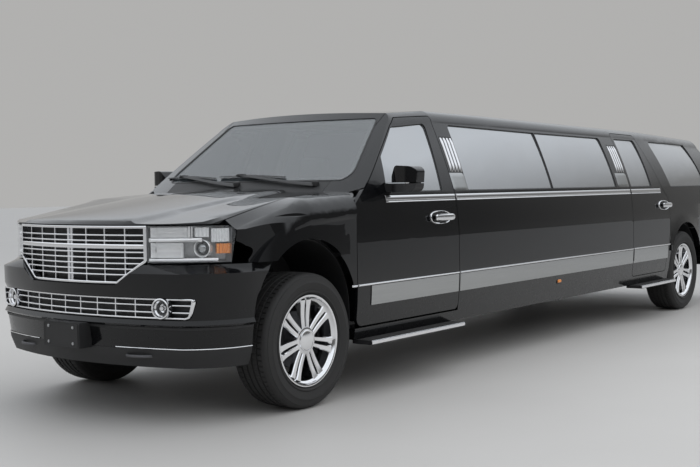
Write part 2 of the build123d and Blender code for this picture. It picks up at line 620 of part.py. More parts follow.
low_slab = up(bowed(LOW_GRILLE_X + 20, fa(NOSE_Y + 22), fa(-786), 40), 500, 800)
row_pitch = (LOW_GRILLE_Z1 - LOW_GRILLE_Z0) / (LOW_BARS + 1)
rows = [(LOW_GRILLE_Z0 + i * row_pitch, 4) for i in range(1, LOW_BARS + 1)]
post_count = int(LOW_GRILLE_X / LOW_POST_PITCH)
posts = [(i * LOW_POST_PITCH, 3) for i in range(-post_count, post_count + 1) if abs(i) * LOW_POST_PITCH < FOG_X - FOG_R]
low_bars = (low_slab & front_view(LOW_GRILLE_OUTLINE, 1 - LOW_GRILLE_RIM)) & lattice(rows, posts, 900, 500, 800)
lower_grille = low_slab & (front_view(LOW_GRILLE_OUTLINE) - front_view(LOW_GRILLE_OUTLINE, -LOW_GRILLE_RIM)) + low_bars
fog_lamps = []
for x in (-FOG_X, FOG_X):
    facing = Pos(x, fa(FOG_Y), FOG_Z) * Rot(90, 0, 0)
    lower_grille -= facing * Cylinder(FOG_R + FOG_RING, 200)
    lower_grille += facing * (Cylinder(FOG_R + FOG_RING + 0.5, 44) - Cylinder(FOG_R, 60))
    fog_lamps.append(facing * Pos(0, 0, -8) * Cylinder(FOG_R - PANE_FIT, 26))
lower_grille = largest(lower_grille)

PLATE_Z0, PLATE_Z1 = 413, 559
plate_bracket = block(-155, 155, fa(-FRONT_OVERHANG), fa(-FRONT_OVERHANG + 14), PLATE_Z0, PLATE_Z1)
plate_bracket += block(-120, 120, fa(-FRONT_OVERHANG + 14), fa(NOSE_Y + 50), PLATE_Z0 + 17, PLATE_Z1 - 14)
for x in (-PLATE_HOLE_X, PLATE_HOLE_X):
    plate_bracket -= Pos(x, fa(-FRONT_OVERHANG), (PLATE_Z0 + PLATE_Z1) / 2) * Rot(90, 0, 0) * Cylinder(4, 40)
plate_bracket = largest(plate_bracket - front_bumper)


def rear_bumper_plan(inset, start):
    """Plan outline of the rear bumper, drawn in by a wall."""
    left = [(975 - inset, ra(start)), (975 - inset, ra(1150) - inset, 140),
            (880 - inset, ra(REAR_OVERHANG) - 22 - inset, 50)]
    right = [(-x, y, *r) for x, y, *r in reversed(left)]
    return left + [("via", 0, ra(REAR_OVERHANG) - inset)] + right


rear_bumper = up(rear_bumper_plan(0, 760), REAR_BUMPER_Z0, REAR_BUMPER_Z1)
rear_bumper -= up(rear_bumper_plan(BUMPER_WALL, 700), REAR_BUMPER_Z0 - 50, REAR_BUMPER_Z1 - 26)
rear_bumper = largest(rear_bumper)

TAIL_LAMP = ((820, 760, 20), (1040, 760, 10), (1040, 1225, 10), (820, 1225, 20))
TAIL_LAMP_Y = 1040             # front edge of the lamp, behind the rear axle
tail_lamp = (outer_body - cabin_body(60, 60, 40, 40)) & rear_view(TAIL_LAMP)
tail_lamp = largest(tail_lamp & block(600, 1100, ra(TAIL_LAMP_Y), ra(2000), 600, 1400))
lamp_hole = rear_view(TAIL_LAMP, FIT) & block(600, 1100, ra(TAIL_LAMP_Y - FIT), ra(2000), 600, 1400)
quarter = largest(quarter - lamp_hole)
print("panels done")

# Wheels, made about the X axis with the outer face towards +X
half_tyre = TYRE_W / 2
bead = 108
half_tread = half_tyre - 52
sidewall = [("via", half_tyre, FLANGE_R + 62), (half_tyre - 17, TYRE_R - 17), ("via", half_tyre - 30, TYRE_R - 4)]
tyre = turned(
    [(-bead, RIM_R + 0.4), (bead, RIM_R + 0.4), (bead, FLANGE_R + 3), (half_tyre - 6, FLANGE_R + 12)] + sidewall
    + [(half_tread, TYRE_R), (-half_tread, TYRE_R), ("via", 30 - half_tyre, TYRE_R - 4),
       (17 - half_tyre, TYRE_R - 17), ("via", -half_tyre, FLANGE_R + 62), (6 - half_tyre, FLANGE_R + 12),
       (-bead, FLANGE_R + 3)], (0, 0, 0))
rim = turned([
    (-122, RIM_R - 14), (-122, FLANGE_R), (-110, FLANGE_R), (-109, RIM_R), (109, RIM_R), (110, FLANGE_R),
    (124, FLANGE_R), (124, RIM_R + 2), (104, RIM_R - 14), (60, RIM_R - 22), (-60, RIM_R - 22)], (0, 0, 0))


def spoke_end(r, x0, x1, y0, y1):
    """Section of a spoke at a radius: a bar with its face edges broken."""
    face = 6
    return outline([(x0, y0), (x1 - face, y0), (x1, y0 + face), (x1, y1 - face), (x1 - face, y1), (x0, y1)],
                   Plane.XY.offset(r)).outer_wire()


spoke = Solid.make_loft([spoke_end(HUB_R - 14, 58, 97, 3.5, 28), spoke_end(RIM_R - 6, 72, 105, 5, 41)], ruled=True)
pair = [spoke, mirror(spoke, about=Plane.XZ)]
spokes = [Rot(i * 360 / SPOKE_PAIRS, 0, 0) * s for i in range(SPOKE_PAIRS) for s in pair]
hub = turned([(40, 0.01), (40, HUB_R), (88, HUB_R - 3), (102, HUB_R - 16), (102, 56), (108, 52), (110, 0.01)], (0, 0, 0))
disc = turned([(-22, 40), (-22, DISC_R), (10, DISC_R), (10, 84), (46, 84), (46, 40)], (0, 0, 0))
rim = largest(rim + [hub, disc] + spokes)

wheel_nodes = {}
for end, y in (("front", FRONT_AXLE_Y), ("rear", REAR_AXLE_Y)):
    for kind, thing in (("tyre", tyre), ("wheel", rim)):
        placed = Pos(WHEEL_X, y, WHEEL_Z) * thing
        wheel_nodes[f"{kind}_{end}_left"] = [placed]
        wheel_nodes[f"{kind}_{end}_right"] = [other_side(placed)]

# Front knuckle with its stub axle and caliper
knuckle = block(WHEEL_X - 92, WHEEL_X - 52, fa(-45), fa(45), WHEEL_Z - 120, WHEEL_Z + 150)
knuckle += rod((WHEEL_X - 92, fa(0), WHEEL_Z), (WHEEL_X - 24, fa(0), WHEEL_Z), 36)
knuckle += block(WHEEL_X - 70, WHEEL_X - 30, fa(100), fa(190), WHEEL_Z - 70, WHEEL_Z + 70)
knuckle += block(WHEEL_X - 80, WHEEL_X - 56, fa(30), fa(120), WHEEL_Z - 30, WHEEL_Z + 30)
knuckle = knuckle + rod((WHEEL_X - 72, fa(-40), WHEEL_Z - 60), (WHEEL_X - 110, fa(-120), WHEEL_Z - 60), 14)
knuckle = largest(knuckle - Pos(WHEEL_X - 6, fa(0), WHEEL_Z) * Rot(0, 90, 0) * Cylinder(DISC_R + 6, 48)
                  + rod((WHEEL_X - 60, fa(0), WHEEL_Z), (WHEEL_X - 32, fa(0), WHEEL_Z), 30))

# Chassis: two rails kicked up over the rear axle, crossmembers, suspension
RAIL_X, RAIL_W, RAIL_Z0, RAIL_Z1 = 400, 80, 330, RAIL_TOP_Z
rail = across([
    (fa(-780), 430), (fa(-780), 560, 20), (fa(380), 560, 60), (fa(570), RAIL_Z1, 80), (ra(-560), RAIL_Z1, 80),
    (ra(-360), 600, 60), (ra(420), 600, 60), (ra(640), 560, 60), (ra(1180), 560), (ra(1180), 460), (ra(640), 460, 60),
    (ra(420), 500, 60), (ra(-340), 500, 60), (ra(-600), RAIL_Z0, 80), (fa(640), RAIL_Z0, 80), (fa(440), 430, 60)],
    RAIL_X, RAIL_X + RAIL_W)
CROSSMEMBERS = 6               # those between the axles, evenly spaced
first_y, last_y = fa(1180), ra(-800)
cross_rows = [(first_y + i * (last_y - first_y) / (CROSSMEMBERS - 1), RAIL_Z0 + 5, RAIL_Z0 + 45)
              for i in range(CROSSMEMBERS)]
cross_rows += [(fa(-740), 440, 540), (fa(-160), 440, 500), (ra(-260), 520, 580), (ra(700), 480, 540),
               (ra(1090), 470, 550)]
crossmembers = [block(-RAIL_X, RAIL_X, y, y + 90, z0, z1) for y, z0, z1 in cross_rows]
rail_side = RAIL_X + RAIL_W


def wishbone(y, half_base, inner_z, outer_x, outer_z, thick):
    """Arm in two legs from the rail to the knuckle."""
    leg = rod((rail_side, y - half_base, inner_z), (outer_x, y - 8, outer_z), thick)
    return leg + rod((rail_side, y + half_base, inner_z), (outer_x, y + 8, outer_z), thick)


KNUCKLE_SWING = hypot(STEER_X - WHEEL_X + 92, 45)      # corner of the knuckle about the kingpin
ARM_END_X = STEER_X - KNUCKLE_SWING - 26               # ball joints just inboard of it
arms = wishbone(FRONT_AXLE_Y, 150, 450, ARM_END_X - 6, WHEEL_Z - 132, 18)
arms += wishbone(FRONT_AXLE_Y, 80, 610, ARM_END_X, WHEEL_Z + 166, 12)
arms += block(rail_side, rail_side + 40, fa(-110), fa(110), 540, 785)
arms += block(rail_side, 640, fa(-40), fa(100), 760, 785)
arms += rod((600, fa(30), 330), (566, fa(30), 765), 46)
front_arms = largest(arms - rail)

rear_arms = wishbone(REAR_AXLE_Y, 150, 520, WHEEL_X - 70, WHEEL_Z - 132, 18)
rear_arms += wishbone(REAR_AXLE_Y, 80, 590, WHEEL_X - 70, WHEEL_Z + 166, 12)
rear_arms += block(WHEEL_X - 92, WHEEL_X - 52, ra(-45), ra(45), WHEEL_Z - 160, WHEEL_Z + 180)
rear_arms += rod((150, ra(0), WHEEL_Z), (WHEEL_X - 36, ra(0), WHEEL_Z), 26)
rear_arms += rod((600, ra(70), 330), (570, ra(70), 640), 46) + block(rail_side, 640, ra(10), ra(130), 630, 650)
rear_arms += block(rail_side, rail_side + 30, ra(-110), ra(130), 560, 650)
rear_arms = largest(rear_arms - [rail] - crossmembers)
differential = block(-168, 168, ra(-148), ra(150), WHEEL_Z - 110, WHEEL_Z + 110)

engine = block(-330, 330, fa(-330), fa(420), 505, 1010)
radiator = block(-380, 380, fa(-740), fa(-690), 540, 1060)
SHAFT_Z = 414
gearbox = block(-150, 150, fa(420), fa(1150), 290, RAIL_TOP_Z - 4)
driveshaft = rod((0, fa(1150), SHAFT_Z), (0, ra(-148), SHAFT_Z), 34)
PIPE_Z = 292
exhaust = rod((-250, fa(1200), PIPE_Z), (-250, ra(1240), PIPE_Z), 32)
exhaust += Pos(-250, ra(-1400), PIPE_Z - 10) * Box(220, 900, 100)
exhaust = largest(exhaust)
tank = block(60, 380, fa(2600), fa(3900), 215, RAIL_Z0 + 5)

# Cabin floor stepping up over the rear axle, firewall, wheel housings
FLOOR_T = 30
FLOOR_Z = RAIL_TOP_Z + FLOOR_T
REAR_FLOOR_Z = 690
STEP_Y = ra(-650)
floor = block(-FLOOR_X, FLOOR_X, fa(640), STEP_Y, RAIL_TOP_Z, FLOOR_Z)
floor += block(-FLOOR_X, FLOOR_X, STEP_Y, STEP_Y + FLOOR_T, RAIL_TOP_Z, REAR_FLOOR_Z)
floor += block(-FLOOR_X, FLOOR_X, STEP_Y, ra(1080), REAR_FLOOR_Z - FLOOR_T, REAR_FLOOR_Z)
rear_house = (REAR_ARCH[0], REAR_ARCH[1], REAR_ARCH[2] + 1)
for cut in both(arch(rear_house, REAR_AXLE_Y, 640, 1000)):
    floor -= cut
floor = largest(floor)
firewall = block(-820, 820, fa(620), fa(640), RAIL_TOP_Z + 1, COWL_Z)
liners = []
for axle, (offset, z, r), x0, foot_z in ((FRONT_AXLE_Y, FRONT_ARCH, 524, 420), (REAR_AXLE_Y, REAR_ARCH, 642, 490)):
    where = (offset, z, r - 2)
    half = arch(where, axle, x0, 945) - arch(where, axle, x0 + 6, 960, -6)
    half -= block(x0 - 1, x0 + 7, axle - 200, axle + 200, 200, 800)
    half = half & block(400, 945, axle - 700, axle + 700, foot_z, 1300)
    liners += both(largest(half))

# Seats, dashboard, partition
seat_side = [(fa(1180), 640, 30), (fa(1180), 790, 60), (fa(1600), 800, 20), (fa(1760), 1330, 40), (fa(1850), 1330, 40),
             (fa(1790), 640, 40)]
seat = across(seat_side, 170, 690) + across(
    [(fa(1240), FLOOR_Z), (fa(1240), 645), (fa(1700), 645), (fa(1700), FLOOR_Z)], 210, 640)
seat += across([(fa(1750), 1325), (fa(1762), 1530, 40), (fa(1850), 1530, 40), (fa(1850), 1325)], 290, 550)
BENCH_Z, BACK_Z = 870, 1230
INNER_X = FLOOR_X - 10
lounge = up([(-INNER_X, fa(2350)), (-INNER_X, STEP_Y - 5), (-330, STEP_Y - 5), (-330, fa(2350))], FLOOR_Z, BENCH_Z)
lounge += up([(-INNER_X, fa(2350)), (-INNER_X, STEP_Y - 5), (-710, STEP_Y - 5), (-710, fa(2350))], BENCH_Z - 5, BACK_Z)
rear_bench = block(-620, 620, ra(-600), ra(-60), REAR_FLOOR_Z, 1010)
rear_bench += block(-620, 620, ra(-200), ra(-60), 1000, 1560)
bar = up([(560, fa(2350)), (INNER_X, fa(2350)), (INNER_X, STEP_Y - 600), (560, STEP_Y - 600, 80)], FLOOR_Z, 1100)
partition = along([(-INNER_X, FLOOR_Z), (INNER_X, FLOOR_Z), (INNER_X, BACK_Z), (690, 1730, 60), (-690, 1730, 60),
                   (-INNER_X, BACK_Z)], fa(2080), fa(2120))
DASH_Y0, DASH_Y1 = 640, 990
dashboard = across([(fa(DASH_Y0), 940), (fa(DASH_Y0), COWL_Z - 30, 30), (fa(DASH_Y1 - 60), 1216, 60),
                    (fa(DASH_Y1), 1120, 50), (fa(DASH_Y1 - 70), 940, 30)], -INNER_X + 20, INNER_X - 20)
dashboard += block(-150, 150, fa(DASH_Y0 + 40), fa(DASH_Y1 + 160), FLOOR_Z, 950)
STEERING_WHEEL = (400, 1200, 1140)
WHEEL_TILT = 25
column = Vector(0, cos(radians(WHEEL_TILT)), sin(radians(WHEEL_TILT)))
wheel_centre = Vector(STEERING_WHEEL[0], fa(STEERING_WHEEL[1]), STEERING_WHEEL[2])
steering = Plane(wheel_centre, x_dir=(1, 0, 0), z_dir=column)
steering_wheel = steering * Torus(185, 15)
steering_wheel += steering * Pos(0, 0, -10) * Cylinder(60, 40)
for angle in (0, 180, 270):
    steering_wheel += steering * Rot(0, 0, angle) * Pos(100, 0, -4) * Box(180, 34, 14)
steering_wheel += rod(wheel_centre - column * 20, wheel_centre - column * 330, 28)
steering_wheel = largest(steering_wheel - dashboard)

# Mirrors, boards, wipers, trim
mirror_head = along([(1010, 1258, 20), (1176, 1262, 40), (1187, 1398, 30), (1158, 1424, 40), (1064, 1430, 30),
                     (1008, 1350, 20)], fa(770), fa(930))
mirror_head &= up([(1192, fa(930)), (1192, fa(852), 50), (1140, fa(778), 60), (1060, fa(770), 50),
                   (1004, fa(812), 40), (1004, fa(930))], 1200, 1500)
mirror_arm = block(930, 1030, fa(820), fa(890), 1262, 1322)
mirror_unit = largest((mirror_head + mirror_arm) - outer_body)


def side_trim(y0, y1, z0, z1):
    """Flat bright strip standing on the left body side."""
    return trim_layer & block(900, 1100, fa(y0), fa(y1), z0, z1)


def trim_section(y):
    """Section of the cabin below the belt, standing proud by the thickness of the trim."""
    edges, plane = half_mirrored([
        ((955 + TRIM, SILL_Z - 60), (989 + TRIM, 500), (SIDE_X + TRIM, 690)),
        ((SIDE_X + TRIM, 690), None, (SIDE_X - 1 + TRIM, 900)),
        ((SIDE_X - 1 + TRIM, 900), (990 + TRIM, 1085), (BELT_X + TRIM, BELT_Z)),
    ], y)
    edges.append(Edge.make_line(Vector(955 + TRIM, SILL_Z - 60), Vector(-955 - TRIM, SILL_Z - 60)))
    edges.append(Edge.make_line(Vector(BELT_X + TRIM, BELT_Z), Vector(-BELT_X - TRIM, BELT_Z)))
    return plane * Wire(edges)


trim_layer = Solid.make_loft([trim_section(fa(-100)), trim_section(ra(1200))], ruled=True) - outer_body


def handle(y0, y1, z):
    """Pull handle: a bar on two feet, a little taller at its front."""
    grip = across([(fa(y0), z - 22, 20), (fa(y0), z + 22, 20), (fa(y1), z + 16, 14), (fa(y1), z - 16, 14)],
                  SIDE_X + 21, SIDE_X + 39)
    for y in (y0 + 30, y1 - 30):
        grip += block(960, SIDE_X + 30, fa(y - 14), fa(y + 14), z - 12, z + 12)
    return grip - outer_body


inside = 8
front_trim = [side_trim(FRONT_DOOR_Y + 140, FRONT_DOOR_END - inside, PANEL_LOW_Z, PANEL_TOP_Z),
              side_trim(795, FRONT_DOOR_END - inside, BELT_STRIP_Z, BELT_STRIP_Z + BELT_STRIP_H)]
rear_trim = [side_trim(REAR_DOOR_Y + inside, REAR_DOOR_END - 60, PANEL_LOW_Z + 20, PANEL_TOP_Z + 14),
             side_trim(REAR_DOOR_Y + inside, REAR_DOOR_END - 190, BELT_STRIP_Z, BELT_STRIP_Z + BELT_STRIP_H)]
stretch_trim = side_trim(FRONT_DOOR_END + SEAM + inside, REAR_DOOR_Y - SEAM - inside, PANEL_LOW_Z + 8, PANEL_TOP_Z + 6)
stretch_belt = side_trim(FRONT_DOOR_END + SEAM + inside, REAR_DOOR_Y - SEAM - inside, BELT_STRIP_Z,
                         BELT_STRIP_Z + BELT_STRIP_H)
front_edge = across(grown(at(FRONT_DOOR), -inside), 800, 1100)
rear_edge = across(grown(at(REAR_DOOR), -inside), 800, 1100)
for piece in front_trim + [handle(1311, 1529, 1082)]:
    front_door = front_door + (piece & front_edge)
for piece in rear_trim + [handle(REAR_DOOR_Y + 660, REAR_DOOR_Y + 860, 1076)]:
    rear_door = rear_door + (piece & rear_edge)
front_door, rear_door = largest(front_door), largest(rear_door)

FINS, FIN_W, FIN_H, FIN_Z0, FIN_Z1 = 4, 27, 9, 1392, 1640
fin_zones = []
for start, end in ((FRONT_DOOR_END + 34, PILLAR_Y - 12), (REAR_DOOR_Y - 184, REAR_DOOR_Y - 22)):
    for i in range(FINS):
        y = fa(start + i * (end - start - FIN_W) / (FINS - 1))
        fin_zones.append(block(600, 1100, y, y + FIN_W, FIN_Z0, FIN_Z1))
fins = solids_of((cabin_body(-FIN_H, -FIN_H, 0, 0) - outer_body) & (fin_zones[0] + fin_zones[1:]))


def running_board(y0, y1):
    top = SILL_Z - 2
    board = across([(fa(y0), top - 26), (fa(y0), top), (fa(y1), top), (fa(y1), top - 26)], 930, 1080)
    for y in (y0 + 300, y1 - 150):
        board += block(rail_side, 940, fa(y - 20), fa(y + 20), top - 14, top)
    return largest(board)


boards = both(running_board(482, 1587)) + both(running_board(REAR_DOOR_Y - 5, REAR_DOOR_END - 58))

wiper_slab = screen_wedge(-4) - screen_wedge(-26)
wipers = []
for x0, x1 in ((-620, 20), (60, 700)):
    wipers.append(wiper_slab & along([(x0, 1346), (x1, 1360), (x1, 1374), (x0, 1360)], fa(300), fa(900)))

nodes = {
    "frame_rails": both(rail),
    "crossmembers": crossmembers,
    "floor_pan": [floor],
    "firewall": [firewall],
    "cowl": [cowl],
    "roof_panel": [roof],
    "windshield_pillars": both(pillar),
    "stretch_sides": both(largest(stretch_side)),
    "rear_quarters": both(quarter) + [tail_sill],
    "rockers": both(largest(rocker)),
    "fenders": both(fender),
    "front_bumper": [front_bumper],
    "grille": [grille] + solids_of(grille_back),
    "lower_grille": [lower_grille],
    "front_lamps": both(headlamp) + fog_lamps,
    "plate_bracket": [plate_bracket],
    "windshield": [largest(windshield)],
    "side_glass": [s for p in panes["stretch"] + [panes["quarter"]] for s in both(largest(p))],
    "side_trim": [s for piece in [largest(stretch_trim), largest(stretch_belt)] + fins for s in both(piece)],
    "running_boards": boards,
    "tail_lamps": both(tail_lamp),
    "rear_bumper": [rear_bumper],
    "dashboard": [largest(dashboard)],
    "steering_wheel": [steering_wheel],
    "front_seats": both(largest(seat)),
    "partition": [largest(partition)],
    "lounge_seats": [largest(lounge), rear_bench],
    "bar_cabinet": [bar],
    "engine": [engine],
    "radiator": [radiator],
    "driveline": [gearbox + driveshaft + differential],
    "exhaust": [exhaust],
    "fuel_tank": [tank],
    "front_suspension": both(front_arms),
    "rear_suspension": both(rear_arms - differential),
    "wheel_liners": liners,
    "wipers": [largest(blade) for blade in wipers],
    "hood": [hood],
    "liftgate": [liftgate],
    "liftgate_glass": [liftgate_glass],
    "front_door_left": [front_door],
    "front_door_right": [other_side(front_door)],
    "front_door_glass_left": [largest(panes["front"])],
    "front_door_glass_right": [other_side(largest(panes["front"]))],
    "mirror_left": [mirror_unit],
    "mirror_right": [other_side(mirror_unit)],
    "rear_door_left": [rear_door],
    "rear_door_right": [other_side(rear_door)],
    "rear_door_glass_left": [largest(panes["rear"])],
    "rear_door_glass_right": [other_side(largest(panes["rear"]))],
    "knuckle_left": [knuckle],
    "knuckle_right": [other_side(knuckle)],
    **wheel_nodes,
}
for name, solids in nodes.items():
    flat = [s for thing in solids for s in thing.solids()]
    export_step(Compound(flat) if len(flat) > 1 else flat[0], f"parts/{name}.step")
    print(name, len(flat))
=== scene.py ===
# %% [markdown]
# # A black stretch limousine
#
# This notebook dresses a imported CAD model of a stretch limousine: the steel, glass and rubber pieces already
# stand at their real size and place, and Blender gives them their finish and the small forms that only show
# close by.

# %% Load the frame
import json

import bmesh
import bpy
import numpy as np
from mathutils import Matrix, Vector


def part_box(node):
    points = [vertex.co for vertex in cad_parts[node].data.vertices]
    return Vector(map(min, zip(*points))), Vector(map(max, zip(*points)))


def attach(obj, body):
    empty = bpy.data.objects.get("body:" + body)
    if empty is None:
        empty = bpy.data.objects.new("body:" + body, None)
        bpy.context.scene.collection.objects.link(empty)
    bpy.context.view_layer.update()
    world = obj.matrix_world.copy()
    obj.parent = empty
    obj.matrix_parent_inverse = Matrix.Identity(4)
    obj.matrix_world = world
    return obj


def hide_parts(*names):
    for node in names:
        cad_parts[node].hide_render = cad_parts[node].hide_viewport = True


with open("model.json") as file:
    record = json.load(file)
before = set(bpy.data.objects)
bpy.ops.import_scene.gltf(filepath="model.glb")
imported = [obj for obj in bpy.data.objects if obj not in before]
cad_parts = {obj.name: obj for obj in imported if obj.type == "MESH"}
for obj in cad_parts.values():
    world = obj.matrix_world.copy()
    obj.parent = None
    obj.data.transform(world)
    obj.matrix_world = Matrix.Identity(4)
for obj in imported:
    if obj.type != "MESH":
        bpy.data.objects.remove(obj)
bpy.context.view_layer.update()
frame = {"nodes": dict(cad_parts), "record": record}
nodes = frame["nodes"]

# %% [markdown]
# ## Where things are
#
# Everything along the car is easiest to say as a distance behind the front axle, so one helper turns such a
# distance into the frame's own Y.  Both axles, and so the wheelbase, come from the frame's own wheels.

# %% Driving places
def box_of(name):
    """Lowest and highest corner of a node, as two rows."""
    return np.array(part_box(name))


WHEEL_LOW, WHEEL_HIGH = box_of("tyre_front_left")
FRONT_AXLE, REAR_AXLE = box_of("tyre_front_left").mean(0), box_of("tyre_rear_left").mean(0)


def fa(distance):
    """The frame's Y for a distance behind the front axle."""
    return FRONT_AXLE[1] + distance


def ra(distance):
    """The frame's Y for a distance behind the rear axle."""
    return REAR_AXLE[1] + distance


print("wheelbase", round(float(ra(0) - fa(0)), 3), "m")

# %% [markdown]
# ## Shader maths as plain expressions
#
# A material is a small graph of nodes.  Writing it node by node hides the idea, so one class wraps a socket and
# lets ordinary operators add the Math nodes: `1 - mask * 0.5` then builds three of them.  Any other node comes
# from the `node` method, which takes its type and the values or links of its sockets.

# %% The socket wrapper
def adds(operation):
    """An operator that adds one Math node."""
    return lambda self, other: self.maths(operation, other)


class Sock:
    """One output socket of a node tree, with arithmetic that adds Math nodes."""

    def __init__(self, tree, socket):
        self.tree, self.socket = tree, socket

    def maths(self, operation, *others):
        made = self.tree.nodes.new("ShaderNodeMath")
        made.operation = operation
        for place, value in enumerate((self, *others)):
            plug(self.tree, value, made.inputs[place])
        return Sock(self.tree, made.outputs[0])

    __add__ = __radd__ = adds("ADD")
    __mul__ = __rmul__ = adds("MULTIPLY")
    __sub__, __truediv__ = adds("SUBTRACT"), adds("DIVIDE")

    def __rsub__(self, other):
        return (self * -1.0).maths("ADD", other)

    def clamp(self):
        return self.maths("MAXIMUM", 0.0).maths("MINIMUM", 1.0)

    def ramp(self, low, high):
        """0 below low, 1 above high, straight between."""
        return ((self - low) / (high - low)).clamp()


def plug(tree, value, socket):
    """Link a wrapped socket, or set a plain value."""
    if isinstance(value, Sock):
        tree.links.new(value.socket, socket)
    elif value is not None:
        socket.default_value = value


def mixed(tree, mask, first, second):
    """Colour that goes from first to second as the mask goes from 0 to 1."""
    made = tree.nodes.new("ShaderNodeMix")
    made.data_type = "RGBA"
    for value, place in ((mask, 0), (first, 6), (second, 7)):
        plug(tree, value, made.inputs[place])
    return Sock(tree, made.outputs[2])


print("socket class ready")

# %% [markdown]
# ## A material under construction
#
# Every finish here starts the same way: a material, its main shader and the Object coordinates that place a
# pattern on the piece.  `Finish` holds the three, and its methods add what finishes share: a noise, a wave, a
# colour between two, a bump.  A finish then reads as a list of what it looks like.

# %% The finish helper
class Finish:
    """A material under construction: its tree, its shader and its Object coordinates."""

    def __init__(self, name, **plain):
        self.material = bpy.data.materials.new(name)
        self.material.use_nodes = True
        self.tree = self.material.node_tree
        self.shader = self.tree.nodes["Principled BSDF"]
        place = self.tree.nodes.new("ShaderNodeTexCoord")
        self.place = Sock(self.tree, place.outputs["Object"])
        self.set(**plain)

    def set(self, **values):
        for name, value in values.items():
            plug(self.tree, value, self.shader.inputs[name.replace("_", " ")])

    def node(self, kind, **values):
        """Add a node, set its sockets by name, and give its first output."""
        made = self.tree.nodes.new("ShaderNode" + kind)
        for key, value in values.items():
            plug(self.tree, value, made.inputs[key])
        return Sock(self.tree, made.outputs[0])

    def axes(self):
        """The three Object coordinates, a socket each."""
        made = self.tree.nodes.new("ShaderNodeSeparateXYZ")
        plug(self.tree, self.place, made.inputs[0])
        return [Sock(self.tree, made.outputs[i]) for i in range(3)]

    def noise(self, scale, detail=3.0, rough=0.5, stretch=(1, 1, 1)):
        """Soft random pattern from 0 to 1, with an own scale along each axis."""
        where = self.node("Mapping", Vector=self.place, Scale=stretch)
        return self.node("TexNoise", Vector=where, Scale=scale, Detail=detail, Roughness=rough)

    def flutes(self, axis, pitch):
        """Waves from 0 to 1 along an axis."""
        return (self.axes()[axis] * pitch).maths("SINE") * 0.5 + 0.5

    def blend(self, mask, first, second):
        return mixed(self.tree, mask, first, second)

    def mottle(self, mask, first, second, rough, spread):
        """Let one mask drive a colour between two, and a roughness that it raises by a spread."""
        self.set(Base_Color=self.blend(mask, first, second), Roughness=rough + mask * spread)

    def bump(self, height, distance, strength=1.0):
        self.set(Normal=self.node("Bump", Strength=strength, Distance=distance, Height=height))


print("shader helpers ready")

# %% [markdown]
# ## The paint
#
# The real car is black with a clear coat over it, so almost all that shows is reflection.  A dielectric base of
# near black under a full coat gives that.  A faint orange-peel waviness keeps the reflections from looking like
# glass, and a thin veil of dust makes the coat a little duller low down.

# %% Black paint
def make_paint():
    """Black under clear coat: roughness grows a little towards the sills, where road dust settles."""
    finish = Finish("black_paint", Coat_IOR=1.42, Specular_IOR_Level=0.08)
    height = finish.axes()[2]
    dust = finish.noise(9.0, 4.0, 0.6)
    low_down = 1.0 - height.ramp(0.25, 0.9)
    veil = low_down * dust.ramp(0.35, 0.75)
    finish.set(Base_Color=finish.blend(veil * 0.16, (0.0028, 0.003, 0.0036, 1.0), (0.02, 0.019, 0.017, 1.0)),
               Roughness=0.25 + veil * 0.1, Coat_Weight=0.96 - veil * 0.08, Coat_Roughness=0.012)
    finish.bump(finish.noise(90.0, 1.0), 0.00001, 0.2)
    return finish.material


BLACK_PAINT = make_paint()
print("made", BLACK_PAINT.name)

# %% [markdown]
# ## The other finishes
#
# Most of them are one or two noises: a pattern leads a colour between two near values, raises the roughness, and
# often goes into a bump as well.  Chrome has haze in patches, a tyre is duller where it has worn, cast metal is
# blotched by oxide, and wood and brushed metal are the same noise stretched along the car.  An image would have to
# be laid out on every piece, while a noise in Object coordinates needs no layout and shows no seam.

# %% Chrome, glass, plastic, rubber, metal, hide, carpet and wood
def make_mottled(name, pattern, first, second, rough, spread, bump=None, **plain):
    """Finish whose one noise leads its colour, its roughness and, if a distance is given, its bump."""
    finish = Finish(name, **plain)
    mask = finish.noise(*pattern)
    finish.mottle(mask, first, second, rough, spread)
    if bump:
        finish.bump(mask, *bump)
    return finish.material


def make_metal(name, colour, rough, scale=60.0, metallic=1.0):
    """Cast or rolled metal with blotchy oxide."""
    darker = tuple(c * 0.55 for c in colour[:3]) + (1.0,)
    return make_mottled(name, (scale, 5.0, 0.6), darker, colour, rough, 0.2, (0.0008, 0.4), Metallic=metallic)


def make_dark_glass():
    """Privacy glass: a mirror-like film of middle grey, with slow waves from its tempering."""
    finish = Finish("dark_glass", Coat_Weight=0.6, Coat_Roughness=0.01)
    film = finish.noise(0.8, 2.0)
    finish.set(Base_Color=finish.blend(film, (0.4, 0.415, 0.43, 1.0), (0.47, 0.485, 0.5, 1.0)),
               Metallic=0.88 + film * 0.06, Roughness=0.015 + film * 0.02)
    finish.bump(finish.noise(2.2, 1.0), 0.002, 0.25)
    return finish.material


def make_clear_glass(name, tint, opacity, bend=1.5):
    """Clear sheet: a tinted gloss with an alpha, so what is behind it shows; a high index mirrors more."""
    finish = Finish(name, Base_Color=tint, Roughness=0.02, IOR=bend)
    finish.set(Alpha=finish.noise(3.0, 1.0) * 0.02 + opacity)
    return finish.material


def make_plastic(name, colour, rough, grain, depth):
    """Moulded plastic with a fine pebble grain."""
    finish = Finish(name)
    pebble = finish.node("TexVoronoi", Vector=finish.place, Scale=grain)
    tone = finish.noise(14.0, 3.0)
    lighter = tuple(c * 1.5 + 0.004 for c in colour[:3]) + (1.0,)
    finish.mottle(tone, colour, lighter, rough, 0.12)
    finish.bump(pebble, depth, 0.6)
    return finish.material


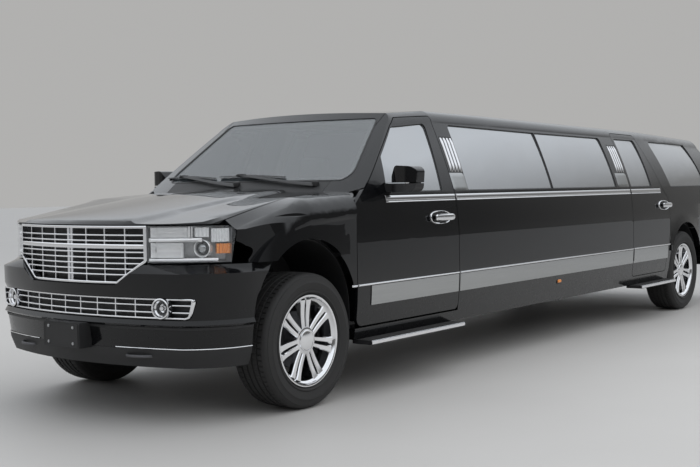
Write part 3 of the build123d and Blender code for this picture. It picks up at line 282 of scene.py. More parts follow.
def make_leather():
    """Black hide: fine cells of grain, a little shinier on their tops."""
    finish = Finish("leather_black")
    cells = finish.node("TexVoronoi", Vector=finish.place, Scale=260.0)
    tone = finish.noise(7.0, 4.0)
    finish.set(Base_Color=finish.blend(tone, (0.022, 0.021, 0.02, 1.0), (0.045, 0.042, 0.04, 1.0)),
               Roughness=0.42 + cells * 0.2)
    finish.bump(cells, 0.0006, 0.7)
    return finish.material


def make_red_lens():
    """Red lamp lens with its fluting behind the face."""
    finish = Finish("red_lens", Roughness=0.06, Coat_Weight=1.0, Coat_Roughness=0.02)
    finish.set(Base_Color=finish.blend(finish.flutes(2, 160.0), (0.09, 0.001, 0.002, 1.0), (0.28, 0.006, 0.006, 1.0)))
    return finish.material


MATERIALS = {
    "black_paint": BLACK_PAINT,
    # bright chrome with a breath of haze in patches
    "chrome": make_mottled("chrome", (35.0, 5.0, 0.6), (0.83, 0.84, 0.86, 1.0), (0.9, 0.9, 0.91, 1.0), 0.05, 0.07,
                           Metallic=1.0),
    "dark_glass": make_dark_glass(),
    "screen_glass": make_clear_glass("screen_glass", (0.085, 0.1, 0.108, 1.0), 0.42, 3.6),
    "lamp_lens": make_clear_glass("lamp_lens", (0.5, 0.52, 0.54, 1.0), 0.05, 2.6),
    "red_lens": make_red_lens(),
    "trim_black": make_plastic("trim_black", (0.01, 0.01, 0.0105, 1.0), 0.45, 900.0, 0.0004),
    "frame_black": make_metal("frame_black", (0.02, 0.02, 0.021, 1.0), 0.4, 40.0, 0.0),
    "cast_metal": make_metal("cast_metal", (0.2, 0.2, 0.21, 1.0), 0.5),
    "bare_aluminium": make_metal("bare_aluminium", (0.6, 0.61, 0.62, 1.0), 0.3),
    "steel_pipe": make_metal("steel_pipe", (0.4, 0.39, 0.37, 1.0), 0.35),
    # a dry dark grey, duller where it has met the road
    "tyre_rubber": make_mottled("tyre_rubber", (28.0, 5.0, 0.65), (0.012, 0.012, 0.0125, 1.0),
                                (0.03, 0.029, 0.028, 1.0), 0.62, 0.2, (0.0006, 0.5)),
    # cut pile
    "floor_carpet": make_mottled("floor_carpet", (500.0, 4.0, 0.8), (0.012, 0.012, 0.014, 1.0),
                                 (0.06, 0.06, 0.065, 1.0), 0.9, 0.05, (0.003,)),
    "leather_black": make_leather(),
    "interior_plastic": make_plastic("interior_plastic", (0.085, 0.083, 0.08, 1.0), 0.55, 700.0, 0.0005),
    # dark veneer under lacquer, its figure running along the car
    "wood_gloss": make_mottled("wood_gloss", (10.0, 6.0, 0.6, (6.0, 0.7, 6.0)), (0.035, 0.012, 0.006, 1.0),
                               (0.16, 0.065, 0.028, 1.0), 0.3, 0.15, Coat_Weight=0.8, Coat_Roughness=0.05),
}
print("materials", len(MATERIALS))

# %% [markdown]
# ## Dressing the CAD nodes
#
# Each node of the record names a material slot.  A rigid solid whose shape is right keeps its mesh and only gets
# a better material in its slots.

# %% Give every node its finish
SLOT_OF = {row["node"]: row["material_slot"] for row in frame["record"]["subparts"]}
for name, thing in nodes.items():
    thing.data.materials.clear()
    thing.data.materials.append(MATERIALS[SLOT_OF[name]])
print("dressed", len(nodes), "nodes")

# %% [markdown]
# ## Surfaces from numpy
#
# Every new piece is one or more grids: a function of two parameters, worked out for whole arrays at once.  A
# `Shape` collects such grids, numbers their points one after another and hands everything to one mesh.  That
# keeps a grille of many bars a single clean object.

# %% Collecting grids into a mesh
def added(name, data):
    """New object in the scene."""
    thing = bpy.data.objects.new(name, data)
    bpy.context.scene.collection.objects.link(thing)
    return thing


def enrolled(mesh, body, slot, material=None, replaces=()):
    """Object of a finished mesh with its material, riding on its body; the nodes that it stands for are hidden."""
    thing = added(mesh.name, mesh)
    mesh.materials.append(material or MATERIALS[slot])
    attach(thing, body)
    if replaces:
        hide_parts(*replaces)
    return thing


def sheet(x, y, z):
    """Grid of points from three arrays that stretch to one shape."""
    return np.stack(np.broadcast_arrays(x, y, z), -1)


class Shape:
    """Grids of points, each rows x columns x 3, joined into one mesh."""

    def __init__(self):
        self.points, self.faces, self.count = [], [], 0

    def grid(self, points, wrap_rows=False, wrap_columns=False, flip=None, hollow=False):
        """Add a grid; a wrapped direction joins its last row or column to its first.  Unless flip settles it, the
        sign of the volume between the faces and their middle turns them outward, or inward for a hollow."""
        rows, columns = points.shape[:2]
        r, c = np.meshgrid(np.arange(rows if wrap_rows else rows - 1),
                           np.arange(columns if wrap_columns else columns - 1), indexing="ij")
        below, beside = (r + 1) % rows, (c + 1) % columns
        quads = np.stack([r * columns + c, r * columns + beside, below * columns + beside, below * columns + c], -1)
        quads = quads.reshape(-1, 4)
        if flip is None:
            a, b, c, d = (points.reshape(-1, 3) - points.mean((0, 1)))[quads].transpose(1, 0, 2)
            volume = np.sum(np.cross(a, b) * c) + np.sum(np.cross(a, c) * d)
            flip = (volume < 0) != hollow
        quads = quads + self.count
        self.faces.append(quads[:, ::-1] if flip else quads)
        self.points.append(points.reshape(-1, 3))
        self.count += rows * columns
        return self

    def hoop(self, points, **how):
        """Add a grid whose last row joins its first."""
        return self.grid(points, wrap_rows=True, **how)

    def tube(self, points):
        """Add a grid whose last column joins its first."""
        return self.grid(points, wrap_columns=True)

    def loop(self, points):
        """Add a grid that is joined both ways."""
        return self.grid(points, wrap_rows=True, wrap_columns=True)

    def copies(self, points, places):
        """Add the same grid once for each 4x4 matrix in an array of them."""
        flat = np.concatenate([points.reshape(-1, 3), np.ones((points.size // 3, 1))], 1)
        for moved in np.einsum("kij,nj->kni", places, flat)[..., :3]:
            self.grid(moved.reshape(points.shape))
        return self

    def mirrored(self):
        """The same shape on the other side of the car, its faces turned to stay outward."""
        other = Shape()
        other.points = [p * (-1, 1, 1) for p in self.points]
        other.faces = [f[:, ::-1] for f in self.faces]
        other.count = self.count
        return other

    def make(self, name, body, slot, material=None, sharp=35.0, replaces=()):
        """Put the points into a mesh, weld its seams, shade it and let it ride on a body."""
        mesh = bpy.data.meshes.new(name)
        mesh.from_pydata(np.concatenate(self.points).tolist(), [], np.concatenate(self.faces).tolist())
        weld = bmesh.new()
        weld.from_mesh(mesh)
        bmesh.ops.remove_doubles(weld, verts=weld.verts, dist=1e-6)
        bmesh.ops.dissolve_degenerate(weld, edges=weld.edges, dist=1e-7)
        weld.to_mesh(mesh)
        weld.free()
        mesh.polygons.foreach_set("use_smooth", np.ones(len(mesh.polygons), dtype=bool))
        mesh.set_sharp_from_angle(angle=np.radians(sharp))
        return enrolled(mesh, body, slot, material, replaces)


print("shape class ready")

# %% [markdown]
# ## Surfaces that come up again and again
#
# Most parts of a car are turned, drawn along a path or made from a rounded rectangle.  Each is a formula over
# two arrays, so a rim, a seal and a plate need no modelling by hand, only the rows of their section.

# %% Turned, swept and rounded forms
def turned(profile, steps, centre=(0, 0, 0), axis=0):
    """Revolve a profile of (distance along the axis, radius) rows about X, Y or Z through a centre."""
    angle = np.linspace(0, 2 * np.pi, steps, endpoint=False)[:, None]
    along, radius = np.asarray(profile, float).T
    points = np.zeros((steps, len(along), 3))
    points[..., axis] = along
    points[..., (axis + 1) % 3] = radius * np.cos(angle)
    points[..., (axis + 2) % 3] = radius * np.sin(angle)
    return points + centre


def swept(path, side, over, profile):
    """Carry a profile (rows of sideways, over) along a path of points; side and over are its two directions."""
    path, profile = np.asarray(path, float), np.asarray(profile, float)
    side, over = (np.broadcast_to(np.asarray(v, float), path.shape)[:, None] for v in (side, over))
    return path[:, None] + profile[:, 0][None, :, None] * side + profile[:, 1][None, :, None] * over


def rounded_box(width, height, radius, steps=4):
    """Profile rows of a rectangle with round corners, centred."""
    turn = np.linspace(0, np.pi / 2, steps)
    corners = []
    for k, (sx, sy) in enumerate(((1, 1), (-1, 1), (-1, -1), (1, -1))):
        a = turn + k * np.pi / 2
        corners.append(np.stack([sx * (width / 2 - radius) + radius * np.cos(a),
                                 sy * (height / 2 - radius) + radius * np.sin(a)], 1))
    return np.concatenate(corners)


def spin(angles):
    """4x4 matrices that turn about the X axis."""
    matrices = np.tile(np.eye(4), (len(angles), 1, 1))
    c, s = np.cos(angles), np.sin(angles)
    matrices[:, 1, 1], matrices[:, 1, 2], matrices[:, 2, 1], matrices[:, 2, 2] = c, -s, s, c
    return matrices


print("surface tools ready")

# %% [markdown]
# ## Tyres
#
# A tyre is a turned ring, so one profile gives the sidewall with its rim guard and shoulder rings.  The tread is
# the same turned surface with a radius that dips: four grooves run round it, and short slots cross the ribs at a
# regular pitch, their halves staggered as on a road tyre.  Bump alone would look flat against the light at the
# shoulder, so the blocks are real geometry.

# %% Tyre surface
TYRE_R = float(WHEEL_HIGH[2] - WHEEL_LOW[2]) / 2
TYRE_HALF = float(WHEEL_HIGH[0] - WHEEL_LOW[0]) / 2
BEAD_R = 0.2752
TREAD_PITCHES, SAMPLES = 74, 8
GROOVES = (-0.062, -0.021, 0.021, 0.062)
GROOVE_DEEP, SLOT_DEEP, SIPE_DEEP = 0.008, 0.006, 0.003
SLOT_START, SIPE_START, SIPE_END = 0.066, 0.027, 0.056


def tyre_shape(centre):
    """Tyre ring: sidewalls from a profile, tread from a radius that dips in its grooves and slots."""
    shape = Shape()
    half = TYRE_HALF
    edge = half - 0.046
    wall = [(0.108, BEAD_R - 0.02), (0.11, BEAD_R), (half - 0.012, BEAD_R + 0.006), (half - 0.006, BEAD_R + 0.012),
            (half - 0.006, BEAD_R + 0.017), (half - 0.011, BEAD_R + 0.021), (half - 0.002, BEAD_R + 0.05),
            (half - 0.0005, BEAD_R + 0.062), (half, BEAD_R + 0.064), (half, BEAD_R + 0.068),
            (half - 0.0015, BEAD_R + 0.07), (half - 0.004, BEAD_R + 0.085), (half - 0.008, BEAD_R + 0.1),
            (half - 0.0085, BEAD_R + 0.102), (half - 0.012, BEAD_R + 0.103), (half - 0.018, TYRE_R - 0.014),
            (half - 0.028, TYRE_R - 0.006), (edge, TYRE_R - 0.0025)]
    outer = np.array(wall)
    for flip in (1, -1):
        shape.hoop(turned(outer * (flip, 1), TREAD_PITCHES * 2, centre), flip=flip < 0)
    across = []
    for groove in GROOVES:
        across += [groove - 0.0065, groove - 0.005, groove + 0.005, groove + 0.0065]
    across = np.unique(np.concatenate([across, np.linspace(-edge, edge, 9)]))
    around = np.arange(TREAD_PITCHES * SAMPLES)
    phase = (around % SAMPLES) / SAMPLES
    a, p = np.meshgrid(across, phase, indexing="xy")
    in_groove = np.min(np.abs(a[..., None] - np.array(GROOVES)), -1) < 0.0055
    in_slot = np.where(a > 0, p < 0.2, (p > 0.5) & (p < 0.7)) & (np.abs(a) > SLOT_START)
    shallow = ((p + 0.25) % 1 < 0.2) & (np.abs(a) < SIPE_END) & (np.abs(a) > SIPE_START)
    crown = TYRE_R - 0.0025 * (a / edge) ** 2
    radius = crown - GROOVE_DEEP * in_groove - SLOT_DEEP * (in_slot & ~in_groove) - SIPE_DEEP * shallow
    angle = (around / (TREAD_PITCHES * SAMPLES) * 2 * np.pi)[:, None]
    points = np.stack([a, radius * np.cos(angle), radius * np.sin(angle)], -1) + centre
    shape.hoop(points, flip=True)
    return shape


def wheel_places():
    """Name, centre, side and body of each wheel, read from the frame's own tyres."""
    for end in ("front", "rear"):
        for side, sign in (("left", 1), ("right", -1)):
            yield f"{end}_{side}", box_of(f"tyre_{end}_{side}").mean(0), sign, f"wheel_{end}_{side}"


for name, centre, _, body in wheel_places():
    made = tyre_shape(centre).make("tread_" + name, body, "tyre_rubber", replaces=["tyre_" + name])
print("tyre faces", len(made.data.polygons), "each")

# %% [markdown]
# ## Chrome wheels
#
# The wheel has a turned barrel and lip, seven pairs of flat-topped spokes and a broad cap.  A spoke is a
# chamfered profile carried outward from the hub while it widens, so its flanks catch a second line of light.

# %% Wheel surfaces
LIP_R, BARREL_R, CAP_R = 0.2718, 0.238, 0.054
SPOKE_PAIRS = 7


def spoke_grid(lean):
    """One spoke along +Z: half width and height change with the distance from the hub, offset sideways."""
    reach = np.linspace(0.062, 0.2395, 12)[:, None]
    t = (reach - reach.min()) / np.ptp(reach)
    half = 0.0125 + 0.0055 * t + 0.006 * np.clip(t - 0.82, 0, 1) / 0.18
    middle = lean * (0.0175 + 0.0095 * t)
    face = 0.101 - 0.006 * np.sin(np.pi * t) + 0.006 * t
    profile = np.array([(-1, -0.034), (-1, -0.006), (-0.72, 0), (0.72, 0), (1, -0.006), (1, -0.034)])
    sideways = middle + half * profile[:, 0]
    outward = face + profile[:, 1]
    return sheet(outward, sideways, reach)


def on_wheel(shape, centre, side):
    """Move a shape made about the origin to its wheel, mirrored for the right of the car."""
    shape.points = [p * (side, 1, 1) + centre for p in shape.points]
    if side < 0:
        shape.faces = [f[:, ::-1] for f in shape.faces]
    return shape


def wheel_shape(centre, side):
    """Barrel, lip, spokes and cap of the outer side; side turns it for the right of the car."""
    shape = Shape()
    barrel = [(-0.122, 0.24), (-0.122, LIP_R), (-0.112, LIP_R), (-0.11, 0.2545), (0.1095, 0.2545), (0.111, LIP_R),
              (0.1195, LIP_R), (0.1235, LIP_R - 0.0015), (0.124, LIP_R - 0.006), (0.121, LIP_R - 0.0145),
              (0.112, LIP_R - 0.019), (0.106, 0.247), (0.1, BARREL_R), (0.05, 0.2325), (-0.04, 0.2315),
              (-0.1, 0.236), (-0.122, 0.24)]
    shape.hoop(turned(barrel, 96))
    turns = spin(2 * np.pi * np.arange(SPOKE_PAIRS) / SPOKE_PAIRS)
    for lean in (-1, 1):
        shape.copies(spoke_grid(lean), turns)
    hub = [(0.045, 0.03), (0.045, 0.07), (0.093, 0.082), (0.099, 0.08), (0.101, 0.075), (0.1015, 0.064),
           (0.1055, 0.0625), (0.1075, 0.059), (0.1075, 0.056), (0.1065, CAP_R)]
    shape.hoop(turned(hub, 56))
    dome_r = np.linspace(CAP_R, 0.0, 10)
    dome = np.stack([0.1065 + 0.004 * (1 - (dome_r / CAP_R) ** 2), dome_r], 1)
    shape.hoop(turned(dome, 56))
    return on_wheel(shape, centre, side)


def brake_shape(centre, side):
    """Disc behind the spokes with its hat, a turned ring with a rounded edge."""
    profile = [(-0.022, 0.03), (-0.022, 0.167), (-0.02, 0.168), (0.008, 0.168), (0.01, 0.167), (0.01, 0.086),
               (0.044, 0.08), (0.046, 0.03), (-0.022, 0.03)]
    return on_wheel(Shape().hoop(turned(profile, 64)), centre, side)


for name, centre, sign, body in wheel_places():
    wheel_shape(centre, sign).make("rim_" + name, body, "chrome", replaces=["wheel_" + name], sharp=28)
    brake_shape(centre, sign).make("disc_" + name, body, "cast_metal")
print("wheels made")

# %% [markdown]
# ## Smoothing the panels
#
# The CAD meshes come as loose triangles, long and thin along a curved panel, and gloss paint shows every one of
# them as a broken reflection.  The cure has two parts: the triangles are divided until none is longer than
# six centimetres, and the shading normals are then averaged with their neighbours, again and again, but never
# across a real edge.  The shape itself doesn't move, so the coarsest facets still show.

# %% Polished copies
BODY_OF = {node: body for body, group in frame["record"]["behaviour"]["bodies"].items() for node in group}
DIVIDE_ROUNDS = 7
CREASE, REACH, ROUNDS = 24.0, 0.06, 14


def merged(name):
    """A node's mesh as one connected bmesh."""
    mesh = bmesh.new()
    mesh.from_mesh(nodes[name].data)
    bmesh.ops.remove_doubles(mesh, verts=mesh.verts, dist=2e-5)
    bmesh.ops.dissolve_degenerate(mesh, edges=mesh.edges, dist=1e-6)
    return mesh


def divided(mesh, reach):
    """Halve every edge longer than a reach, and triangulate, until none is left or the rounds are used up."""
    for _ in range(DIVIDE_ROUNDS):
        long = [edge for edge in mesh.edges if edge.calc_length() > reach]
        if not long:
            break
        bmesh.ops.subdivide_edges(mesh, edges=long, cuts=1)
        bmesh.ops.triangulate(mesh, faces=[face for face in mesh.faces if len(face.verts) > 3])


def smooth_normals(mesh, sharp, rounds):
    """Corner normals: area-weighted at first, then each is averaged with its neighbours along the edges of the
    same smooth patch; patches end at edges that fold by more than the sharp angle."""
    apart = mesh.copy()
    limit = np.radians(sharp)
    bmesh.ops.split_edges(apart, edges=[e for e in apart.edges if len(e.link_faces) == 2
                                        and e.calc_face_angle(0.0) > limit])
    loose = bpy.data.meshes.new("loose")
    apart.to_mesh(loose)
    apart.free()
    corner, pairs = np.empty(len(loose.loops), int), np.empty(len(loose.edges) * 2, int)
    loose.loops.foreach_get("vertex_index", corner)
    loose.edges.foreach_get("vertices", pairs)
    points = np.empty(len(loose.vertices) * 3)
    loose.vertices.foreach_get("co", points)
    points, triangles, pairs = points.reshape(-1, 3), corner.reshape(-1, 3), pairs.reshape(-1, 2)
    bpy.data.meshes.remove(loose)
    first, second, third = (points[triangles[:, k]] for k in range(3))
    area = np.cross(second - first, third - first)
    normal = np.zeros_like(points)
    for k in range(3):
        np.add.at(normal, triangles[:, k], area)
    for _ in range(rounds):
        normal /= np.linalg.norm(normal, axis=1, keepdims=True) + 1e-12
        around = np.zeros_like(normal)
        np.add.at(around, pairs[:, 0], normal[pairs[:, 1]])
        np.add.at(around, pairs[:, 1], normal[pairs[:, 0]])
        count = np.bincount(pairs.ravel(), minlength=len(points))[:, None]
        normal = normal + around / np.maximum(count, 1)
    normal /= np.linalg.norm(normal, axis=1, keepdims=True) + 1e-12
    return normal[corner]


def smoothed(mesh, name, sharp, rounds, marked=False):
    """Mesh of a triangulated bmesh with averaged corner normals, its creases marked as sharp if asked."""
    normals = smooth_normals(mesh, sharp, rounds)
    data = bpy.data.meshes.new(name)
    mesh.to_mesh(data)
    mesh.free()
    data.polygons.foreach_set("use_smooth", np.ones(len(data.polygons), dtype=bool))
    if marked:
        data.set_sharp_from_angle(angle=np.radians(sharp))
    data.normals_split_custom_set(normals.tolist())
    return data


def polish(name, reach=REACH, rounds=ROUNDS):
    """Finely divided, smoothly shaded copy of a node, which takes its place."""
    mesh = merged(name)
    bmesh.ops.triangulate(mesh, faces=mesh.faces)
    divided(mesh, reach)
    data = smoothed(mesh, name + "_polished", CREASE, rounds, marked=True)
    return enrolled(data, BODY_OF[name], SLOT_OF[name], replaces=[name])


PANELS = ["roof_panel", "windshield_pillars", "stretch_sides", "rear_quarters", "rockers", "fenders",
          "front_bumper", "rear_bumper", "hood", "liftgate", "front_door_left", "front_door_right",
          "rear_door_left", "rear_door_right", "side_glass", "windshield", "liftgate_glass",
          "front_door_glass_left", "front_door_glass_right", "rear_door_glass_left", "rear_door_glass_right",
          "dashboard"]
polished = {name: polish(name) for name in PANELS}
for name in ("steering_wheel", "running_boards"):
    polished[name] = polish(name, 0.3, 2)
WHEEL_HIDE = make_plastic("wheel_hide", (0.17, 0.175, 0.18, 1.0), 0.4, 500.0, 0.0003)
polished["steering_wheel"].data.materials[0] = WHEEL_HIDE
print("polished", len(polished), "nodes,", sum(len(p.data.polygons) for p in polished.values()), "triangles")

# %% [markdown]
# ## Seals round the glass
#
# A pane's outer face ends in a loop of edges.  Walking that loop gives a path that follows the body's curve
# exactly, so one function can lay a rubber lip, a bright frame or a printed border along any pane.

# %% Loops and bands
PATH_STEP = 0.012


def rims(name, facing):
    """Ordered edge loops of the faces of a node that look along a direction, each an array of points."""
    mesh = merged(name)
    mesh.normal_update()
    facing = Vector(facing).normalized()
    outer = {f for f in mesh.faces if f.normal.dot(facing) > 0.45}
    follow = {}
    for face in outer:
        for loop in face.loops:
            if sum(f in outer for f in loop.edge.link_faces) == 1:
                follow[loop.vert] = loop.link_loop_next.vert
    paths = []
    while follow:
        start, here = follow.popitem()
        path = [start.co[:]]
        while here in follow:
            path.append(here.co[:])
            here = follow.pop(here)
        if len(path) > 3:
            paths.append(np.array(path))
    mesh.free()
    return paths


def even(path):
    """The same closed path with points at an even spacing, its long sides filled in."""
    closed = np.concatenate([path, path[:1]])
    length = np.concatenate([[0], np.cumsum(np.linalg.norm(np.diff(closed, axis=0), axis=1))])
    count = max(8, int(length[-1] / PATH_STEP))
    where = np.linspace(0, length[-1], count, endpoint=False)
    return np.stack([np.interp(where, length, closed[:, k]) for k in range(3)], 1)


def band(path, facing, profile):
    """Closed strip along a path: profile rows are (distance outward from the pane, height above its face)."""
    ahead = np.roll(path, -1, 0) - np.roll(path, 1, 0)
    ahead /= np.linalg.norm(ahead, axis=1, keepdims=True)
    out = np.cross(ahead, facing)
    out /= np.linalg.norm(out, axis=1, keepdims=True)
    over = np.cross(out, ahead)
    return swept(path, out, over, profile)


SEAL = [(-0.007, -0.001), (-0.005, 0.0025), (0.0, 0.0045), (0.0035, 0.005), (0.006, 0.0065), (0.006, -0.001)]
PANES = [("side_glass", "body"), ("front_door_glass_left", "front_door_left"),
         ("front_door_glass_right", "front_door_right"), ("rear_door_glass_left", "rear_door_left"),
         ("rear_door_glass_right", "rear_door_right")]
for name, body in PANES:
    shape = Shape()
    for facing in ((1, 0, 0.25), (-1, 0, 0.25)):
        for path in rims(name, facing):
            shape.loop(band(even(path), facing, SEAL))
    shape.make(name + "_seal", body, "trim_black", sharp=40)
shape, facing = Shape(), (0, -0.6, 0.8)
BORDERS = ([(-0.011, 0.0), (-0.008, 0.005), (0.0, 0.007), (0.005, 0.0065), (0.007, 0.0)],
           [(-0.05, -0.0068), (-0.05, -0.0064), (-0.001, -0.0064), (-0.001, -0.0068)])
for path in rims("windshield", facing):
    for profile in BORDERS:
        shape.loop(band(even(path), facing, profile))
shape.make("windshield_surround", "body", "trim_black", sharp=40)
shape, facing = Shape(), (0, 1, 0.5)
for path in rims("liftgate_glass", facing):
    shape.loop(band(even(path), facing, SEAL))
shape.make("liftgate_glass_seal", "liftgate", "trim_black", sharp=40)
print("seals laid")

# %% [markdown]
# ## Bright trim along the side
#
# The side carries a double bright strip at the belt, a thin line above the sill and a broad satin panel below it.
# Each is the body's own section pushed outward a few millimetres and drawn straight back, so one function makes
# them all: heights and offsets go in as rows, and the section supplies the curve.

# %% Section of the side and strips on it
FLANK = (((0.290, 0.955), (0.500, 0.989), (0.690, 1.001)), ((0.690, 1.001), (0.795, 1.0005), (0.900, 1.000)),
         ((0.900, 1.000), (1.085, 0.990), (1.256, 0.962)))
LINE_Z, PANEL_TOP, PANEL_FOOT, BELT_Z, STRIP_END = 0.688, 0.679, 0.5555, 1.217, 0.003


def flank(z):
    """Half-breadth of the body side at a height: a parabola through each three points of the section."""
    breadth = np.zeros_like(z)
    for trio in FLANK:
        heights, widths = np.array(trio).T
        breadth = np.where(z >= heights[0], np.polyval(np.polyfit(heights, widths, 2), z), breadth)
    return breadth


def strip(start, end, rows):
    """Strip on the left side: rows are (height, how far proud), drawn from start to end with sunk ends."""
    z, proud = np.asarray(rows, float).T
    along = np.array([start, start + STRIP_END, end - STRIP_END, end])[:, None]
    proud = proud * np.array([0, 1, 1, 0])[:, None] - 0.0005
    return sheet(flank(z) + proud, fa(along), z)


def ridge(middle, half, proud):
    """Rows of a rounded ridge: height above the body follows half a circle's outline."""
    turn = np.linspace(0, np.pi, 5)
    return [(middle - half * np.cos(a), proud * np.sin(a) ** 0.7) for a in turn]


BELT = [(BELT_Z + z, proud) for z, proud in (
    (-0.0225, 0.0), (-0.0215, 0.005), (-0.018, 0.0062), (-0.0148, 0.005), (-0.0142, 0.0006), (-0.0105, 0.0006),
    (-0.0095, 0.0048), (-0.005, 0.0062), (0.006, 0.0067), (0.017, 0.0062), (0.021, 0.0045), (0.0215, 0.0))]
LINE = [(LINE_Z - 0.0075, 0.0)] + ridge(LINE_Z, 0.0068, 0.0095) + [(LINE_Z + 0.0075, 0.0)]
PANEL = [(PANEL_FOOT - 0.001, 0.0), (PANEL_FOOT, 0.0048), (PANEL_FOOT + 0.004, 0.0055),
         (PANEL_TOP - 0.001, 0.0055), (PANEL_TOP, 0.0)]
TRIM_RUNS = {"front_door": ((LINE, 0.458, 1.642), (PANEL, 0.59, 1.642), (BELT, 0.795, 1.642)),
             "body": ((LINE, 0.392, 0.441), (LINE, 1.664, 4.726), (PANEL, 1.664, 4.726), (BELT, 1.664, 4.726)),
             "rear_door": ((LINE, 4.748, 5.64), (PANEL, 4.748, 5.59), (BELT, 4.748, 5.462))}
print("trim runs on", ", ".join(TRIM_RUNS))

# %% [markdown]
# ## Finding a panel's own surface
#
# The plates and bars on the broad pillars follow a panel whose curve no formula here knows.  A ray per point
# would find it one by one; barycentric weights find it for a whole grid of points at once, and a piece laid
# that way touches the panel everywhere.

# %% Pieces that follow a panel
FINS, FIN_WIDTH, FIN_LOW, FIN_HIGH, FIN_PROUD, SINK_IN = 4, 0.026, 1.392, 1.640, 0.0095, 0.0004
FIN_GROUPS = ((1.684, 1.838), (4.556, 4.718))


def cross2(a, b):
    return a[..., 0] * b[..., 1] - a[..., 1] * b[..., 0]


def touch(name, axis, first, second):
    """Greatest coordinate of a node along an axis, over arrays of the two other coordinates: each triangle that
    holds a point, by its three barycentric weights, offers a height there, and the greatest one counts."""
    data = nodes[name].data
    data.calc_loop_triangles()
    points, corner = np.empty(len(data.vertices) * 3), np.empty(len(data.loop_triangles) * 3, int)
    data.vertices.foreach_get("co", points)
    data.loop_triangles.foreach_get("vertices", corner)
    spread = points.reshape(-1, 3)[corner.reshape(-1, 3)]
    flat, height = np.delete(spread, axis, 2), spread[..., axis]
    query = np.stack([first.ravel(), second.ravel()], 1)
    near = ((flat.max(1) >= query.min(0)) & (flat.min(1) <= query.max(0))).all(1)
    (a, b, c), height = flat[near].transpose(1, 0, 2), height[near]
    whole = cross2(b - a, c - a)
    whole = np.where(np.abs(whole) < 1e-10, np.inf, whole)
    found = []
    for part in np.array_split(query[:, None], max(1, len(query) // 150)):
        u, v = cross2(b - part, c - part) / whole, cross2(c - part, a - part) / whole
        w = 1 - u - v
        held = (np.minimum(np.minimum(u, v), w) > -1e-6) & np.isfinite(whole)
        found.append(np.where(held, u * height[:, 0] + v * height[:, 1] + w * height[:, 2], -np.inf).max(1))
    found = np.concatenate(found)
    missed = ~np.isfinite(found)
    if missed.all():
        raise ValueError(f"nothing of {name} lies there")
    found[missed] = np.interp(np.flatnonzero(missed), np.flatnonzero(~missed), found[~missed])
    return found.reshape(first.shape)


def turned_down(lift):
    """The same heights with the rim of the grid at nought."""
    lift[0], lift[-1], lift[:, 0], lift[:, -1] = 0, 0, 0, 0
    return lift


def patch(name, start, end, low, high, proud):
    """Thin plate that follows the left side of a node, its rim turned down onto it."""
    y, z = np.meshgrid(np.linspace(fa(start), fa(end), 10), np.linspace(low, high, 10), indexing="ij")
    return sheet(touch(name, 0, y, z) + turned_down(np.full(y.shape, proud)), y, z)


def fin(start):
    """One upright bar of the pillar: a half-round section that follows the pillar's own lean."""
    turn = np.linspace(0, np.pi, 7)
    y = fa(start + FIN_WIDTH / 2 - FIN_WIDTH / 2 * np.cos(turn))
    z = np.linspace(FIN_LOW, FIN_HIGH, 9)
    y, z = np.meshgrid(y, z, indexing="ij")
    lift = FIN_PROUD * np.sin(turn)[:, None] ** 0.6 * np.array([0, 1, 1, 1, 1, 1, 1, 1, 0]) - SINK_IN
    return sheet(touch("stretch_sides", 0, y, z) + lift, y, z)


def both_sides(shape):
    """A left-hand shape joined with its mirror image."""
    other = shape.mirrored()
    shape.faces += [f + shape.count for f in other.faces]
    shape.points += other.points
    shape.count *= 2
    return shape


print("panel tools ready")

# %% [markdown]
# ## Laying the trim
#
# A strip that crosses a door has to end at its seams and swing with it, so each body gets its own run of
# every strip.  The satin panel shares the slot of the bright strips, with a finish of its own.

# %% Strips, fins and panels
# satin bright metal, its brush lines running along the car: noise that is long in Y and fine in Z
SATIN = make_mottled("satin_panel", (9.0, 6.0, 0.7, (1.0, 0.15, 22.0)), (0.34, 0.35, 0.35, 1.0),
                     (0.52, 0.53, 0.53, 1.0), 0.16, 0.12, (0.0003, 0.3), Metallic=1.0)
for body, runs in TRIM_RUNS.items():
    shape, satin = Shape(), Shape()
    for rows, start, end in runs:
        (satin if rows is PANEL else shape).grid(strip(start, end, rows))
    if body == "body":
        for start, end in FIN_GROUPS:
            for place in np.linspace(start, end - FIN_WIDTH, FINS):
                shape.grid(fin(place))
        both_sides(shape).make("bright_side_trim", "body", "chrome", replaces=["side_trim"])
        both_sides(satin).make("satin_panels", "body", "chrome", material=SATIN)
    else:
        for side, trim, panel in (("left", shape, satin), ("right", shape.mirrored(), satin.mirrored())):
            trim.make(f"{body}_trim_{side}", f"{body}_{side}", "chrome")
            panel.make(f"{body}_panel_{side}", f"{body}_{side}", "chrome", material=SATIN)
backing, plates = Shape(), Shape()
for (start, end), low_end in zip(FIN_GROUPS, ((1.657, 1.846), (4.494, 4.733))):
    backing.grid(patch("stretch_sides", start - 0.012, end + 0.008, FIN_LOW - 0.004, FIN_HIGH + 0.006, 0.0012))
    plates.grid(patch("stretch_sides", *low_end, 1.262, FIN_LOW - 0.006, 0.0028))
both_sides(backing).make("fin_backing", "body", "trim_black")
both_sides(plates).make("pillar_plates", "body", "bare_aluminium", material=SATIN)
print("side trim made")

# %% [markdown]
# ## Pull handles
#
# A pull handle is a rounded bar over a black cup, in a bright oval rim.  The bar's section is a superellipse
# whose width and height shrink to nothing at both ends, so the bar closes itself without a cap.

# %% Handles
OVAL_POWER = 2.6
HANDLE_RIM = [(0.0, -0.001), (0.001, 0.006), (0.004, 0.009), (0.008, 0.006), (0.0095, 0.0004)]


